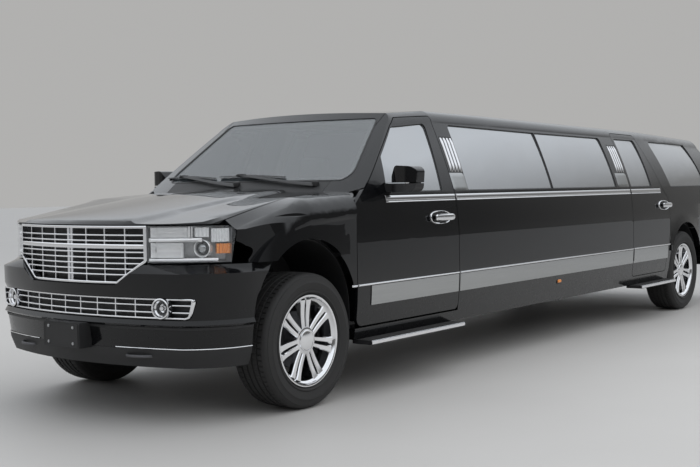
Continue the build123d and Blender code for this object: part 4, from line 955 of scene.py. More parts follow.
def loaf(centre, size, power=3.0, steps=(18, 20), end_power=5.0, axis=1):
    """Closed bar along an axis: sections are superellipses, scaled by another superellipse along the length."""
    t = np.cos(np.linspace(np.pi, 0, steps[0]))[:, None]
    turn = np.linspace(0, 2 * np.pi, steps[1], endpoint=False)
    scale = (1 - np.abs(t) ** end_power) ** (1 / end_power)
    c, s = np.cos(turn), np.sin(turn)
    round_off = (np.abs(c) ** power + np.abs(s) ** power) ** (-1 / power)
    points = np.zeros((steps[0], steps[1], 3))
    points[..., axis] = t * size[axis] / 2
    points[..., (axis + 1) % 3] = scale * c * round_off * size[(axis + 1) % 3] / 2
    points[..., (axis + 2) % 3] = scale * s * round_off * size[(axis + 2) % 3] / 2
    return points + np.asarray(centre)


def oval(middle_y, middle_z, half_length, half_height, rows):
    """Ring on the left side: a superellipse in side view; rows are (how far inside it, how far proud)."""
    turn = np.linspace(0, 2 * np.pi, 44, endpoint=False)
    c, v = np.cos(turn), np.sin(turn)
    size = (np.abs(c) ** OVAL_POWER + np.abs(v) ** OVAL_POWER) ** (-1 / OVAL_POWER)
    rows = np.asarray(rows, float)
    y = middle_y + c * size * (half_length - rows[:, :1])
    z = middle_z + v * size * (half_height - rows[:, :1])
    return sheet(flank(z) + rows[:, 1:], y, z)


def on_both_doors(shape, name, door, slot):
    """Make a piece of a left door, and its mirror image of the right one."""
    shape.make(name + "_left", door + "_left", slot)
    shape.mirrored().make(name + "_right", door + "_right", slot)


for door, start, end, z in (("front_door", 1.311, 1.529, 1.082), ("rear_door", 5.4, 5.6, 1.076)):
    y = fa((start + end) / 2)
    pull = Shape().tube(oval(y, z, 0.126, 0.046, HANDLE_RIM))
    pull.tube(loaf((1.0305, y, z), (0.024, end - start + 0.022, 0.047)))
    on_both_doors(pull, door + "_pull", door, "chrome")
    cup = Shape().tube(oval(y, z, 0.118, 0.038, [(0.0, 0.0008), (0.038, 0.0016)]))
    on_both_doors(cup, door + "_cup", door, "trim_black")
print("handles made")

# %% [markdown]
# ## Sill markers and running boards
#
# The marker is a small amber lens in a black bezel, and a running board has a bright edge along its outer
# side and rubber ribs to stand on.  The same closed bar makes marker and bezel; edge and ribs are sections
# drawn along the board, which takes two points for a straight rib.

# %% Markers and boards
MARKER_Y, MARKER_Z = 3.221, 0.505
amber = Finish("amber_lens", Coat_Weight=0.8, Coat_Roughness=0.03)
amber.mottle(amber.flutes(1, 900.0), (0.62, 0.16, 0.01, 1.0), (0.85, 0.3, 0.03, 1.0), 0.18, 0.1)
MARKER_X = flank(np.array(MARKER_Z))
for name, proud, size, slot, material in (
        ("sill_markers", 0.002, (0.016, 0.062, 0.027), "lamp_lens", amber.material),
        ("marker_bezels", 0.0, (0.010, 0.078, 0.041), "trim_black", None)):
    piece = Shape().tube(loaf((MARKER_X + proud, fa(MARKER_Y), MARKER_Z), size))
    both_sides(piece).make(name, "body", slot, material=material)

BOARD_RUNS = ((0.482, 1.587), (4.735, 5.592))
BOARD_TOP, BOARD_X = 0.348, 1.080
edge_strip, ribs = Shape(), Shape()
for start, end in BOARD_RUNS:
    rim = np.array([(-0.004, -0.024), (0.001, -0.022), (0.002, -0.012), (0.001, -0.003), (-0.004, 0.001),
                    (-0.022, 0.0015), (-0.023, 0.0002)])
    path = np.array([(BOARD_X, fa(y), BOARD_TOP) for y in (start, start + 0.002, end - 0.002, end)])
    points = swept(path, (1, 0, 0), (0, 0, 1), rim)
    points[[0, -1]] = (BOARD_X - 0.008, 0, BOARD_TOP - 0.012) * np.array([1, 0, 1]) + points[[0, -1]] * (0, 1, 0)
    edge_strip.grid(points)
    for x in np.linspace(0.962, 1.046, 6):
        path = np.array([(x, fa(y), BOARD_TOP) for y in (start + 0.02, end - 0.02)])
        ribs.grid(swept(path, (1, 0, 0), (0, 0, 1), [(-0.005, -0.001), (-0.0035, 0.003), (0.0035, 0.003),
                                                    (0.005, -0.001)]))
both_sides(edge_strip).make("board_edges", "body", "chrome")
both_sides(ribs).make("board_ribs", "body", "tyre_rubber")
print("markers and boards made")

# %% [markdown]
# ## Headlamps
#
# A headlamp is a clear shell over a bright tray.  All its parts follow the same bowed plan, so a point is named
# by how far along the face it lies, how deep behind it and how high, and each part is a small sheet in those
# three numbers: the tray, two scooped reflectors, the bars above, between and below them, and the fluted blocks
# at the corner.

# %% Headlamps
LAMP_CENTRE, LAMP_BOW = np.array([0.24913, -0.13281]), 0.78915
LAMP_LOW, LAMP_HIGH, LAMP_START = 0.8965, 1.0985, 0.5475
SCOOP_START, SCOOP_MOUTH = 0.56, 0.016


def lamp_point(x, depth, z):
    """Place behind the lamp's face: the face is an arc in plan, and depth is taken along its radius."""
    angle = np.arcsin((x - LAMP_CENTRE[0]) / LAMP_BOW)
    radius = LAMP_BOW - depth
    return sheet(LAMP_CENTRE[0] + radius * np.sin(angle), fa(LAMP_CENTRE[1] - radius * np.cos(angle)), z)


def lamp_end(z):
    """Outer end of the lamp at a height: it leans back upward and its top corner is round."""
    corner = 0.045
    over = np.clip(z - (LAMP_HIGH - corner), 0, corner)
    lean = 0.903 + 0.018 * (z - LAMP_LOW) / (LAMP_HIGH - LAMP_LOW)
    return lean - 0.9 * (corner - np.sqrt(corner ** 2 - over ** 2))


def lamp_sheet(x0, x1, rows, steps=26):
    """Sheet along the lamp from x0 to x1: rows are (depth, height), and the ends close onto the first depth."""
    deep, high = np.asarray(rows, float).T
    x = x0 + (x1 - x0) * np.linspace(0, 1, steps)[:, None]
    depth = np.tile(deep, (steps, 1))
    depth[[0, -1]] = deep.min()
    return lamp_point(x, depth, high)


def scoop(low, high, reach, deep):
    """Hollow reflector: depth grows as a half wave over its height, and falls off at both ends."""
    s, t = np.meshgrid(np.linspace(0, 1, 30), np.linspace(0, 1, 14), indexing="ij")
    ends = np.clip(np.minimum(s, 1 - s) / 0.14, 0, 1)
    fall = np.sqrt(1 - (1 - ends) ** 2)
    depth = SCOOP_MOUTH + (deep - SCOOP_MOUTH) * np.sin(np.pi * t) ** 0.6 * fall
    return lamp_point(SCOOP_START + (reach - SCOOP_START) * s, depth, low + (high - low) * t)


print("lamp face from", LAMP_START, "to", round(float(lamp_end(LAMP_LOW)), 3), "m")

# %% [markdown]
# ## Lens, housing and reflectors
#
# What shows through the clear lens is a bright tray; without one the lamp would look like an empty box.  The
# tray is laid out in the same three numbers as the lens, which keeps every part at its depth behind the bow.

# %% Lens and tray
SCOOPS = ((1.034, 1.089, 0.742, 0.07), (0.924, 1.006, 0.722, 0.075))  # low, high, outer end, depth
LAMP_BARS = ((1.008, 1.032, 0.80), (0.901, 0.921, 0.86), (1.089, 1.0965, 0.74))  # low, high, outer end
LAMP_RIBS = ((0.744, 0.752), (0.757, 0.762))  # inner and outer end
z = np.linspace(LAMP_LOW, LAMP_HIGH, 18)
share = np.linspace(0, 1, 40)[:, None]
face = lamp_point(LAMP_START + (lamp_end(z) - LAMP_START) * share, 0.0, z)
lens = both_sides(Shape().grid(face)).make("lamp_lenses", "body", "lamp_lens", replaces=["front_lamps"])
wall = lens.modifiers.new("wall", "SOLIDIFY")
wall.thickness, wall.offset = 0.003, -1.0

REFLECTOR = make_mottled("lamp_reflector", (30.0, 3.0), (0.86, 0.87, 0.88, 1.0), (0.95, 0.95, 0.95, 1.0), 0.2, 0.08,
                         Metallic=0.45)
milky = Finish("clear_block", Coat_Weight=1.0, Coat_Roughness=0.05)
milky.set(Base_Color=milky.blend(milky.noise(60.0, 3.0), (0.55, 0.57, 0.58, 1.0), (0.85, 0.86, 0.87, 1.0)),
          Roughness=0.3 + milky.noise(20.0) * 0.1)
rows = np.array([(0.004, LAMP_LOW + 0.001), (0.088, LAMP_LOW + 0.004), (0.096, LAMP_LOW + 0.012),
                 (0.096, LAMP_HIGH - 0.012), (0.088, LAMP_HIGH - 0.004), (0.004, LAMP_HIGH - 0.001)])
x = LAMP_START + 0.001 + (lamp_end(rows[:, 1]) - 0.002 - LAMP_START) * share
depth = np.broadcast_to(rows[:, 0], x.shape).copy()
depth[[0, -1]] = 0.004
housing = Shape().grid(lamp_point(x, depth, rows[:, 1]), hollow=True)
both_sides(housing).make("lamp_housings", "body", "bare_aluminium")
tray = Shape()
for reflector in SCOOPS:
    tray.grid(scoop(*reflector), hollow=True)
for low, high, reach in LAMP_BARS:
    tray.grid(lamp_sheet(0.552, reach, [(0.05, low), (0.018, low + 0.002), (0.012, (low + high) / 2),
                                        (0.018, high - 0.002), (0.05, high)]))
for x0, x1 in LAMP_RIBS:
    tray.grid(lamp_sheet(x0, x1, [(0.05, 1.03), (0.014, 1.032), (0.014, 1.094), (0.05, 1.096)], 4))
print("tray sheets", len(tray.points))

# %% [markdown]
# ## Projector lamp and fluted blocks
#
# Between the reflectors and the corner sits a round projector: a ring, a dark throat and a glass eye, all
# turned about one axis that looks a little outward.  The blocks beside it are fluted, which is a wave in
# their depth.

# %% Projector and blocks
PROJECTOR = lamp_point(0.803, 0.052, 0.972)


def facing_front(profile, centre, steps=40, turn=0.35):
    """Turned form that looks ahead, swung a little outward: profile rows are (forward, radius)."""
    points = turned(profile, steps, axis=1) * (1, -1, 1)
    c, s = np.cos(turn), np.sin(turn)
    return points @ np.array([[c, s, 0], [-s, c, 0], [0, 0, 1]]) + centre


tray.hoop(facing_front([(-0.02, 0.05), (0.014, 0.05), (0.018, 0.046), (0.014, 0.0425), (-0.005, 0.036)], PROJECTOR))
both_sides(tray).make("lamp_trays", "body", "chrome", material=REFLECTOR, sharp=40)
dark_ring = Shape().hoop(facing_front([(-0.005, 0.036), (0.010, 0.0345), (0.010, 0.027), (0.002, 0.025)], PROJECTOR))
both_sides(dark_ring).make("projector_rings", "body", "trim_black")
r = np.linspace(0.0255, 0.0, 9)
eye = np.stack([0.004 + 0.012 * np.sqrt(1 - (r / 0.0256) ** 2), r], 1)
both_sides(Shape().hoop(facing_front(eye, PROJECTOR))).make(
    "projector_eyes", "body", "lamp_lens", material=MATERIALS["dark_glass"])


def lamp_block(x0, x1, low, high, front, back, flutes):
    """Fluted block: its face waves in and out across its width."""
    s = np.linspace(0, 1, flutes * 6 + 1)[:, None]
    rows = np.array([(1, low), (0, low + 0.002), (0, high - 0.002), (1, high)])
    wave = 0.0022 * np.cos(2 * np.pi * flutes * s)
    depth = np.where(rows[:, 0] > 0, back, front + wave)
    depth[[0, -1]] = back
    return lamp_point(x0 + (x1 - x0) * s, depth, rows[:, 1])


both_sides(Shape().grid(lamp_block(0.853, 0.904, 0.942, 1.0, 0.02, 0.06, 5))).make(
    "lamp_amber", "body", "lamp_lens", material=amber.material)
blocks = Shape().grid(lamp_block(0.768, 0.83, 1.034, 1.09, 0.02, 0.06, 4))
blocks.grid(lamp_block(0.834, 0.9, 1.006, 1.084, 0.016, 0.06, 7))
both_sides(blocks).make("lamp_blocks", "body", "lamp_lens", material=milky.material)
print("headlamps made")

# %% [markdown]
# ## Fog lamps
#
# A fog lamp is a set of turned forms on one axis: a bright ring with a bowl in it, a domed cover and a dark
# shroud.  Rows of (forward, radius) are the shortest way to say a turned form, so the headlamp's `facing_front`
# serves again, with the place and the turn of this lamp.

# %% Fog lamps
FOG, FOG_TURN = np.array([0.642, fa(-0.861), 0.652]), 0.2


def fog_form(profile, steps=48):
    """Turned form at the left fog lamp."""
    return facing_front(profile, FOG, steps, FOG_TURN)


ring = Shape().hoop(fog_form([(-0.03, 0.046), (0.004, 0.0465), (0.009, 0.0485), (0.010, 0.052), (0.008, 0.0565),
                              (0.002, 0.058), (-0.03, 0.058)]))
r = np.linspace(0.046, 0.012, 8)
bowl = np.stack([-0.034 + 0.03 * (r / 0.046) ** 2, r], 1)
ring.hoop(fog_form(bowl), hollow=True)
ring.hoop(fog_form([(-0.034, 0.013), (-0.008, 0.0135), (-0.004, 0.011), (-0.003, 0.0)], 24))
both_sides(ring).make("fog_rings", "body", "chrome")
r = np.linspace(0.0462, 0.0, 9)
cover = np.stack([0.001 + 0.006 * np.sqrt(np.clip(1 - (r / 0.0463) ** 2, 0, 1)), r], 1)
both_sides(Shape().hoop(fog_form(cover))).make("fog_covers", "body", "lamp_lens")
eyelid = Shape().hoop(fog_form([(-0.03, 0.045), (-0.012, 0.0445), (-0.012, 0.028), (-0.024, 0.024)], 40))
both_sides(eyelid).make("fog_shrouds", "body", "trim_black")
print("fog lamps made")

# %% [markdown]
# ## The grille
#
# A frame, seven thin bars, a broad one and the posts behind them.  Every bar is the same nose-shaped section laid
# along the bow of the front, and only its length changes where the frame narrows.  A grille reads by the shadow
# between its bars, so a dark sheet closes it behind.

# %% Grille bars and frame
GRILLE_CORNERS = np.array([(0.359, 0.776), (0.541, 0.901), (0.541, 1.101)])
GRILLE_FACE, GRILLE_DROP, GRILLE_REACH = -0.957, 0.095, 0.561
BAR_ROWS = [(0.026, -0.0036), (0.004, -0.0044), (0.001, -0.003), (0.0, 0.0), (0.001, 0.003), (0.004, 0.0044),
            (0.026, 0.0036)]
BROAD_ROWS = [(0.026, -0.0125), (0.003, -0.0135), (-0.001, -0.0115), (-0.003, -0.006), (-0.0035, 0.0),
              (-0.003, 0.006), (-0.001, 0.0115), (0.003, 0.0135), (0.026, 0.0125)]
BROAD_BAR, BAR_BACK, POST_BACK, POST_PITCH = 3, 0.006, 0.008, 0.1353


def bow(x, face=GRILLE_FACE, drop=GRILLE_DROP, reach=GRILLE_REACH):
    """Place of the bowed front at x: a parabola that drops back towards its ends."""
    return fa(face + drop * (x / reach) ** 2)


def cross_bar(z, x_half, rows, shape_of=bow, start=None):
    """Bar along the bow: rows are (depth, height about the bar's middle), and both ends run to a point."""
    x = np.linspace(-x_half if start is None else start, x_half, 30)[:, None]
    deep, high = np.asarray(rows, float).T
    return sheet(x, shape_of(x) + BAR_BACK + deep, z + high)


def upright(x, low, high, half, shape_of=bow):
    """Post between two heights with a rounded front."""
    place = x + half * np.array([-1, -1, -0.5, 0.5, 1, 1])
    deep = np.array([0.02, 0.003, 0.0, 0.0, 0.003, 0.02])
    return sheet(place, shape_of(place) + POST_BACK + deep, np.linspace(low, high, 12)[:, None])


def grille_half(z):
    """Half-width inside the frame at a height: it widens up to the shoulder, then stays."""
    return np.interp(z, GRILLE_CORNERS[:, 1], GRILLE_CORNERS[:, 0]) - 0.008


def frame_rail(corners, width, depth, shape_of=bow):
    """Closed frame: a half-round rail laid inside an outline of (x, z) corners."""
    path = even(np.c_[corners[:, 0], np.zeros(len(corners)), corners[:, 1]])
    ahead = np.roll(path, -1, 0) - np.roll(path, 1, 0)
    ahead /= np.linalg.norm(ahead, axis=1, keepdims=True)
    inward = np.stack([-ahead[:, 2], 0 * ahead[:, 0], ahead[:, 0]], 1)
    turn = np.linspace(0, np.pi, 7)
    across, over = width / 2 * (1 - np.cos(turn)), depth * np.sin(turn) ** 0.6
    across, over = np.r_[0, across, width], np.r_[-0.03, over, -0.03]
    points = path[:, None] + inward[:, None] * across[None, :, None]
    points[..., 1] = shape_of(points[..., 0]) - over + depth
    return points


def outline_of(corners):
    """Both halves of an outline given by its right half, from the foot to the top."""
    return np.concatenate([corners, corners[::-1] * (-1, 1)])


shape = Shape()
PITCH = (GRILLE_CORNERS[2, 1] - GRILLE_CORNERS[0, 1] - 0.044) / 9
for k in range(1, 9):
    z = GRILLE_CORNERS[2, 1] - 0.022 - k * PITCH
    shape.grid(cross_bar(z, grille_half(z), BROAD_ROWS if k == BROAD_BAR else BAR_ROWS))
posts = [(side * k * POST_PITCH, 0.0032) for side in (-1, 1) for k in (1, 2, 3)] + [(-0.014, 0.006), (0.014, 0.006)]
for x, half in posts:
    low = np.interp(abs(x), GRILLE_CORNERS[:2, 0], GRILLE_CORNERS[:2, 1])
    shape.grid(upright(x, low + 0.006, 1.094, half))
shape.hoop(frame_rail(outline_of(GRILLE_CORNERS), 0.0165, 0.007))
shape.make("grille_bars", "body", "chrome", replaces=["grille"], sharp=50)
print("grille made")

# %% [markdown]
# ## The lower grille
#
# The lower opening has the same bars on a flatter bow, cut where the fog lamps sit.  The functions of the
# upper grille take that bow instead of theirs, and one dark mesh closes both openings.

# %% Lower grille and shadow sheets
def shadow_sheet(heights, half_of, back, shape_of=bow):
    """Sheet behind the bars, as wide as the opening at each height."""
    heights = np.asarray(heights, float)
    x = np.linspace(-1, 1, 31)[:, None] * half_of(heights)[None]
    return sheet(x, shape_of(x) + back, heights)


LOW_FACE = (-0.943, 0.157, 0.848)
LOW_CORNERS = np.array([(0.775, 0.592), (0.797, 0.6005), (0.806, 0.62), (0.8215, 0.688), (0.8195, 0.7025),
                        (0.81, 0.7075)])
LOW_BARS, LOW_POSTS, FOG_GAP = (0.6295, 0.6685), (0.0667, 0.2, 0.333, 0.467), (0.588, 0.697)


def low_bow(x):
    return bow(x, *LOW_FACE)


shape = Shape().hoop(frame_rail(outline_of(LOW_CORNERS), 0.0115, 0.006, low_bow))
for z in LOW_BARS:
    end = np.interp(z, LOW_CORNERS[:4, 1], LOW_CORNERS[:4, 0]) - 0.006
    for start, stop in ((-FOG_GAP[0], FOG_GAP[0]), (FOG_GAP[1], end), (-end, -FOG_GAP[1])):
        shape.grid(cross_bar(z, stop, BAR_ROWS, shape_of=low_bow, start=start))
for place in LOW_POSTS:
    for x in (-place, place):
        shape.grid(upright(x, 0.596, 0.704, 0.003, shape_of=low_bow))
shape.make("lower_grille_bars", "body", "chrome", replaces=["lower_grille"], sharp=50)

dark = Shape().grid(shadow_sheet(np.linspace(0.77, 1.106, 8), lambda z: grille_half(z) + 0.014, 0.07))
dark.grid(shadow_sheet(np.linspace(0.588, 0.71, 4), lambda z: 0.8 + 0 * z, 0.05, low_bow))
dark.make("grille_shadow", "body", "trim_black")
print("lower grille and shadow sheets made")

# %% [markdown]
# ## Bumper valance
#
# Below its crease the bumper is grained black plastic with a thin bright edge.  The bumper's plan is a bow with
# two round corners; sliding that plan in and out with height gives every level of it.

# %% Valance and towing hooks
BOW = ((-0.760, -0.838), (0.0, -0.965), (0.760, -0.838))
CORNER = ((0.760, -0.838), (0.893, -0.716), (0.985, -0.440))
LEVELS = ((0.320, 0.064), (0.400, 0.034), (0.546, 0.016), (0.563, 0.0), (0.587, 0.013), (0.711, 0.012))


def arc_through(trio, steps):
    """Points of the circle through three points, from the first to the last."""
    a, b, c = (complex(*p) for p in trio)
    w = (c - a) / (b - a)
    centre = a + (b - a) * (w - abs(w) ** 2) / (w - w.conjugate())
    turn = np.unwrap(np.angle(np.array([a - centre, b - centre, c - centre])))
    points = centre + abs(a - centre) * np.exp(1j * np.linspace(turn[0], turn[2], steps))
    return np.stack([points.real, points.imag], 1)


corner = arc_through(CORNER, 26)
PLAN = np.concatenate([corner[::-1] * (-1, 1), arc_through(BOW, 40)[1:-1], corner])
ahead = np.gradient(PLAN, axis=0)
OUTWARD = np.stack([ahead[:, 1], -ahead[:, 0]], 1) / np.linalg.norm(ahead, axis=1, keepdims=True)


def bumper_band(rows, keep):
    """Band round the bumper: rows are (height, how far proud); keep picks the stretch of its plan."""
    rows = np.asarray(rows, float)
    inset = np.interp(rows[:, 0], *np.array(LEVELS).T) - rows[:, 1]
    plan = PLAN[keep, None] - OUTWARD[keep, None] * inset[None, :, None]
    return sheet(plan[..., 0], fa(plan[..., 1]), rows[:, 0])


def slab(outline, middle, rows):
    """Rings of an (x, z) outline about a middle: rows are (y, scale)."""
    return np.stack([sheet(middle[0] + outline[:, 0] * scale, y, middle[-1] + outline[:, 1] * scale)
                     for y, scale in rows])


whole = (PLAN[:, 1] < -0.462)
band_rows = [(0.3215, -0.002), (0.3225, 0.0018), (0.36, 0.0022), (0.40, 0.0022), (0.4235, 0.0018), (0.4245, -0.001)]
Shape().grid(bumper_band(band_rows, whole)).make("bumper_valance", "body", "trim_black")
edge, edge_rows = Shape(), [(0.4265, -0.001), (0.427, 0.003), (0.4295, 0.0045), (0.432, 0.003), (0.4325, -0.001)]
for keep in (whole & (PLAN[:, 0] > 0.33), whole & (PLAN[:, 0] < -0.33)):
    edge.grid(bumper_band(edge_rows, keep))
edge.make("valance_edge", "body", "chrome")
joint = bumper_band([(0.535, -0.001), (0.536, 0.0022), (0.545, 0.003), (0.549, 0.002), (0.5495, -0.001)], whole)
Shape().grid(joint).make("valance_joint", "body", "trim_black")
hooks = Shape()
for side in (-1, 1):
    turn = np.linspace(0, np.pi, 15)
    x = 0.48 - 0.085 * np.cos(turn)
    path = np.stack([x, np.interp(x, PLAN[:, 0], PLAN[:, 1]) + 0.055 - 0.045 * np.sin(turn), 0.386 + 0 * x], 1)
    path[:, 1] = fa(path[:, 1])
    tube = swept(path, (0, 1, 0), (0, 0, 1), rounded_box(0.02, 0.016, 0.007))
    hooks.tube(tube * (side, 1, 1))
hooks.make("towing_hooks", "body", "cast_metal")


print("valance made")

# %% [markdown]
# ## The front plate
#
# A blank plate on a black mount, held by four screws.  Mount and plate are one rounded outline each, drawn
# as rings that step forward and shrink, so their edges are soft and their faces close in the middle.

# %% Mount, plate and screws
PLATE_SETBACK, SCREW_X, SCREW_Z = 0.0075, 0.105, 0.045
plate_low, plate_high = box_of("plate_bracket")
plate_low[1] += PLATE_SETBACK
middle, half = (plate_low + plate_high) / 2, (plate_high - plate_low) / 2
front, rear = plate_low[1], plate_high[1]
bracket = slab(rounded_box(half[0] * 2, half[2] * 2, 0.01, 5), middle,
               [(rear, 0.0), (rear, 1.0), (front + 0.003, 1.0), (front, 0.985), (front, 0.0)])
Shape().tube(bracket).make("plate_mount", "body", "trim_black", replaces=["plate_bracket"])
plate = slab(rounded_box(half[0] * 1.9, half[2] * 1.84, 0.012, 5), middle,
             [(front - lift, scale) for lift, scale in ((0.0, 1.0), (0.0025, 1.0), (0.003, 0.97), (0.0012, 0.955),
                                                        (0.0012, 0.0))])
Shape().tube(plate).make("blank_plate", "body", "trim_black")
screws = Shape()
for x in (-SCREW_X, SCREW_X):
    for z in (-SCREW_Z, SCREW_Z):
        screws.hoop(facing_front([(0.0, 0.009), (0.004, 0.0085), (0.0055, 0.005), (0.0055, 0.0)],
                                 (x, front - 0.001, middle[2] + z), 16, 0.0))
screws.make("plate_screws", "body", "bare_aluminium")
print("plate made")

# %% [markdown]
# ## Wipers
#
# Each wiper is a tapered arm from a cap at the cowl to the middle of its blade.  Both lie on the windshield, so
# their paths are given in the front view and the glass says how far forward they are.

# %% Wipers
SCREEN_FOOT_Y, SCREEN_FOOT_Z, SCREEN_RAKE, SCREEN_BOW = 0.458, 1.310, 1.338, 2.8


def on_screen(points, lift):
    """Points of the front view laid ahead of the windshield, which is a raked cylinder of a given bow."""
    points = np.asarray(points, float)
    back = SCREEN_FOOT_Y + points[:, 0] ** 2 / (2 * SCREEN_BOW) + (points[:, 1] - SCREEN_FOOT_Z) * SCREEN_RAKE
    return np.stack([points[:, 0], fa(back) - lift, points[:, 1]], 1)


def bar_between(points, lift, widths, thick, steps=14):
    """Bar of a rounded section along a path on the glass, its width running through a list."""
    points, lift = np.asarray(points, float), np.asarray(lift, float)
    where, known = np.linspace(0, 1, steps), np.linspace(0, 1, len(points))
    path = np.stack([np.interp(where, known, points[:, k]) for k in (0, 1)], 1)
    path = on_screen(path, np.interp(where, known, lift))
    width = np.interp(where, np.linspace(0, 1, len(widths)), widths)[:, None, None]
    section = rounded_box(1.0, thick, thick * 0.3)
    over, along = section[:, 1][:, None] * (0, -1.0, 0), section[:, 0][:, None] * (0, 0.8, 0.6)
    return path[:, None] + over + along * width


wipers = Shape()
for shift in (0.0, -0.62):
    blade = [(-0.235 + shift, 1.374), (0.05 + shift, 1.381), (0.345 + shift, 1.367)]
    arm = [(0.615 + shift, 1.318), (0.46 + shift, 1.331), (0.18 + shift, 1.362), (-0.03 + shift, 1.384)]
    wipers.tube(bar_between(blade, (0.012, 0.013, 0.012), (0.012, 0.02, 0.012), 0.016, 22))
    wipers.tube(bar_between(arm, (0.02, 0.03, 0.034, 0.03), (0.04, 0.026, 0.02, 0.016), 0.012, 18))
    knuckle = on_screen([(0.615 + shift, 1.318)], 0.01)[0]
    wipers.tube(loaf(knuckle, (0.05, 0.045, 0.04), axis=2, power=2.0))
    yoke = on_screen([(-0.03 + shift, 1.382)], 0.022)[0]
    wipers.tube(loaf(yoke, (0.08, 0.026, 0.022), axis=0))
wipers.make("wiper_arms", "body", "trim_black", replaces=["wipers"])
print("wipers made")

# %% [markdown]
# ## Mirrors
#
# The mirror's upper cap is painted and its foot is grained plastic, with a shadow line between them.  Both are
# cut from the same CAD solid by two planes, and the glass is a plate set in its rear face.

# %% Mirror halves and glass
MIRROR_CUT, MIRROR_GAP = 1.318, 0.003
GLASS_X, GLASS_Z = 1.098, 1.343


def half_of(name, new_name, height, keep_above, slot):
    """The part of a node above or below a level, closed where it was cut."""
    mesh = merged(name)
    cut = bmesh.ops.bisect_plane(mesh, geom=mesh.verts[:] + mesh.edges[:] + mesh.faces[:], dist=1e-6,
                                 plane_co=(0, 0, height), plane_no=(0, 0, 1), clear_outer=not keep_above,
                                 clear_inner=keep_above)
    bmesh.ops.contextual_create(mesh, geom=[e for e in cut["geom_cut"] if isinstance(e, bmesh.types.BMEdge)])
    bmesh.ops.triangulate(mesh, faces=mesh.faces)
    divided(mesh, 0.012)
    enrolled(smoothed(mesh, new_name, 35, 5), BODY_OF[name], slot, replaces=[name])


for side, sign in (("left", 1), ("right", -1)):
    name = "mirror_" + side
    half_of(name, "mirror_cap_" + side, MIRROR_CUT + MIRROR_GAP, True, "black_paint")
    half_of(name, "mirror_foot_" + side, MIRROR_CUT - MIRROR_GAP, False, "trim_black")
    face = box_of(name)[1, 1] - 0.002
    pane = slab(rounded_box(0.125, 0.13, 0.03, 6), (sign * GLASS_X, GLASS_Z),
                [(face - 0.001, 1.0), (face + 0.0025, 1.0), (face + 0.003, 0.985), (face + 0.003, 0.0)])
    Shape().tube(pane).make("mirror_glass_" + side, BODY_OF[name], "chrome")
print("mirrors made")

# %% [markdown]
# ## Seats
#
# Upholstery is never flat: foam under a cover crowns in the middle, its sides pull in between the corners, and
# each sewn channel sinks.  All three are terms of one formula over a superellipse block, so one function makes
# every cushion, back and headrest, and a quarter turn stands a cushion up as a back.

# %% Cushions, backs and headrests
SINK, FILL = 0.014, 0.7


def pad(size, seams=(), across=(), swell=0.2):
    """Padding about the origin, of a width, depth and height: superellipse sections along the width, a crown on
    top that falls off as a product of parabolas, and a bell-shaped dent along each seam."""
    w, d, h = np.asarray(size) / 2
    u = np.sin(np.linspace(-np.pi / 2, np.pi / 2, 46))
    dents = np.add.outer(np.asarray(seams, float), np.linspace(-0.021, 0.021, 7)).ravel() / w
    u = np.unique(np.concatenate([u, dents]))[:, None]
    turn = np.linspace(0, 2 * np.pi, 56, endpoint=False)
    c, v = np.cos(turn), np.sin(turn)
    unit = (np.abs(c) ** 5 + np.abs(v) ** 5) ** -0.2 * np.maximum(1 - np.abs(u) ** 12, 0) ** (1 / 6)
    y, z = c * unit, v * unit
    crown = (1 - u ** 4) * (1 - y ** 2)
    top = np.where(z > 0, z * (1 - swell + swell * crown), np.maximum(z, -0.97))
    dent = sum((np.exp(-((u * w - place) / 0.009) ** 2) for place in seams), 0 * u)
    dent = dent + sum((np.exp(-((y * d - place) / 0.012) ** 2) for place in across), 0 * y)
    top = top * h - SINK * np.minimum(dent, 1) * np.clip(z * 3, 0, 1)
    x = u * w * (0.985 + 0.015 * y ** 2) + 0 * y
    return np.stack([x, y * d * (0.96 + 0.04 * u ** 2), top], -1)


def placed(points, centre, tip=0.0, sideways=False):
    """Tip a pad about its width by an angle in degrees, turn it to face left if asked, and move it."""
    c, s = np.cos(np.radians(tip)), np.sin(np.radians(tip))
    x, y, z = np.moveaxis(points, -1, 0)
    y, z = y * c - z * s, y * s + z * c
    return np.stack([-y, x, z] if sideways else [x, y, z], -1) + centre


def upholster(name, points, replaces=()):
    shape = Shape().tube(points)
    shape.make(name, "body", SLOT_OF["front_seats"], sharp=60, replaces=replaces)


for side, x in (("left", 0.43), ("right", -0.43)):
    upholster(f"front_cushion_{side}", placed(pad((0.52, 0.5, 0.165), (-0.165, 0.165), (-0.06, 0.06)),
                                              (x, fa(1.432), 0.718), 2.0), replaces=["front_seats"])
    upholster(f"front_back_{side}", placed(pad((0.5, 0.66, 0.13), (-0.155, 0.155), (-0.1, 0.02, 0.14)),
                                           (x, fa(1.716), 1.035), 73.5))
    upholster(f"front_headrest_{side}", placed(pad((0.26, 0.185, 0.088), (), (), 0.12),
                                               (x * 0.977, fa(1.803), 1.432), 84))
SEAMS = np.linspace(-1.53, 1.53, 10)[1:-1]
lounge_y = (fa(2.35) + ra(-0.655)) / 2
upholster("lounge_cushion", placed(pad((3.06, 0.385, 0.18), SEAMS, (), 0.16), (-0.522, lounge_y, 0.782), 0, True),
          replaces=["lounge_seats"])
upholster("lounge_back", placed(pad((3.06, 0.44, 0.11), SEAMS, (0.06,), 0.2), (-0.782, lounge_y, 1.012), 85, True))
upholster("rear_cushion", placed(pad((1.24, 0.41, 0.175), (-0.207, 0.207), (), 0.16), (0, ra(-0.395), 0.923)))
upholster("rear_back", placed(pad((1.24, 0.6, 0.12), (-0.207, 0.207), (-0.05, 0.12), 0.2),
                              (0, ra(-0.135), 1.258), 86))
plinths = Shape()
for x in (-0.425, 0.425):
    plinths.tube(loaf((x, fa(1.47), 0.562), (0.42, 0.45, 0.16), 9, end_power=14))
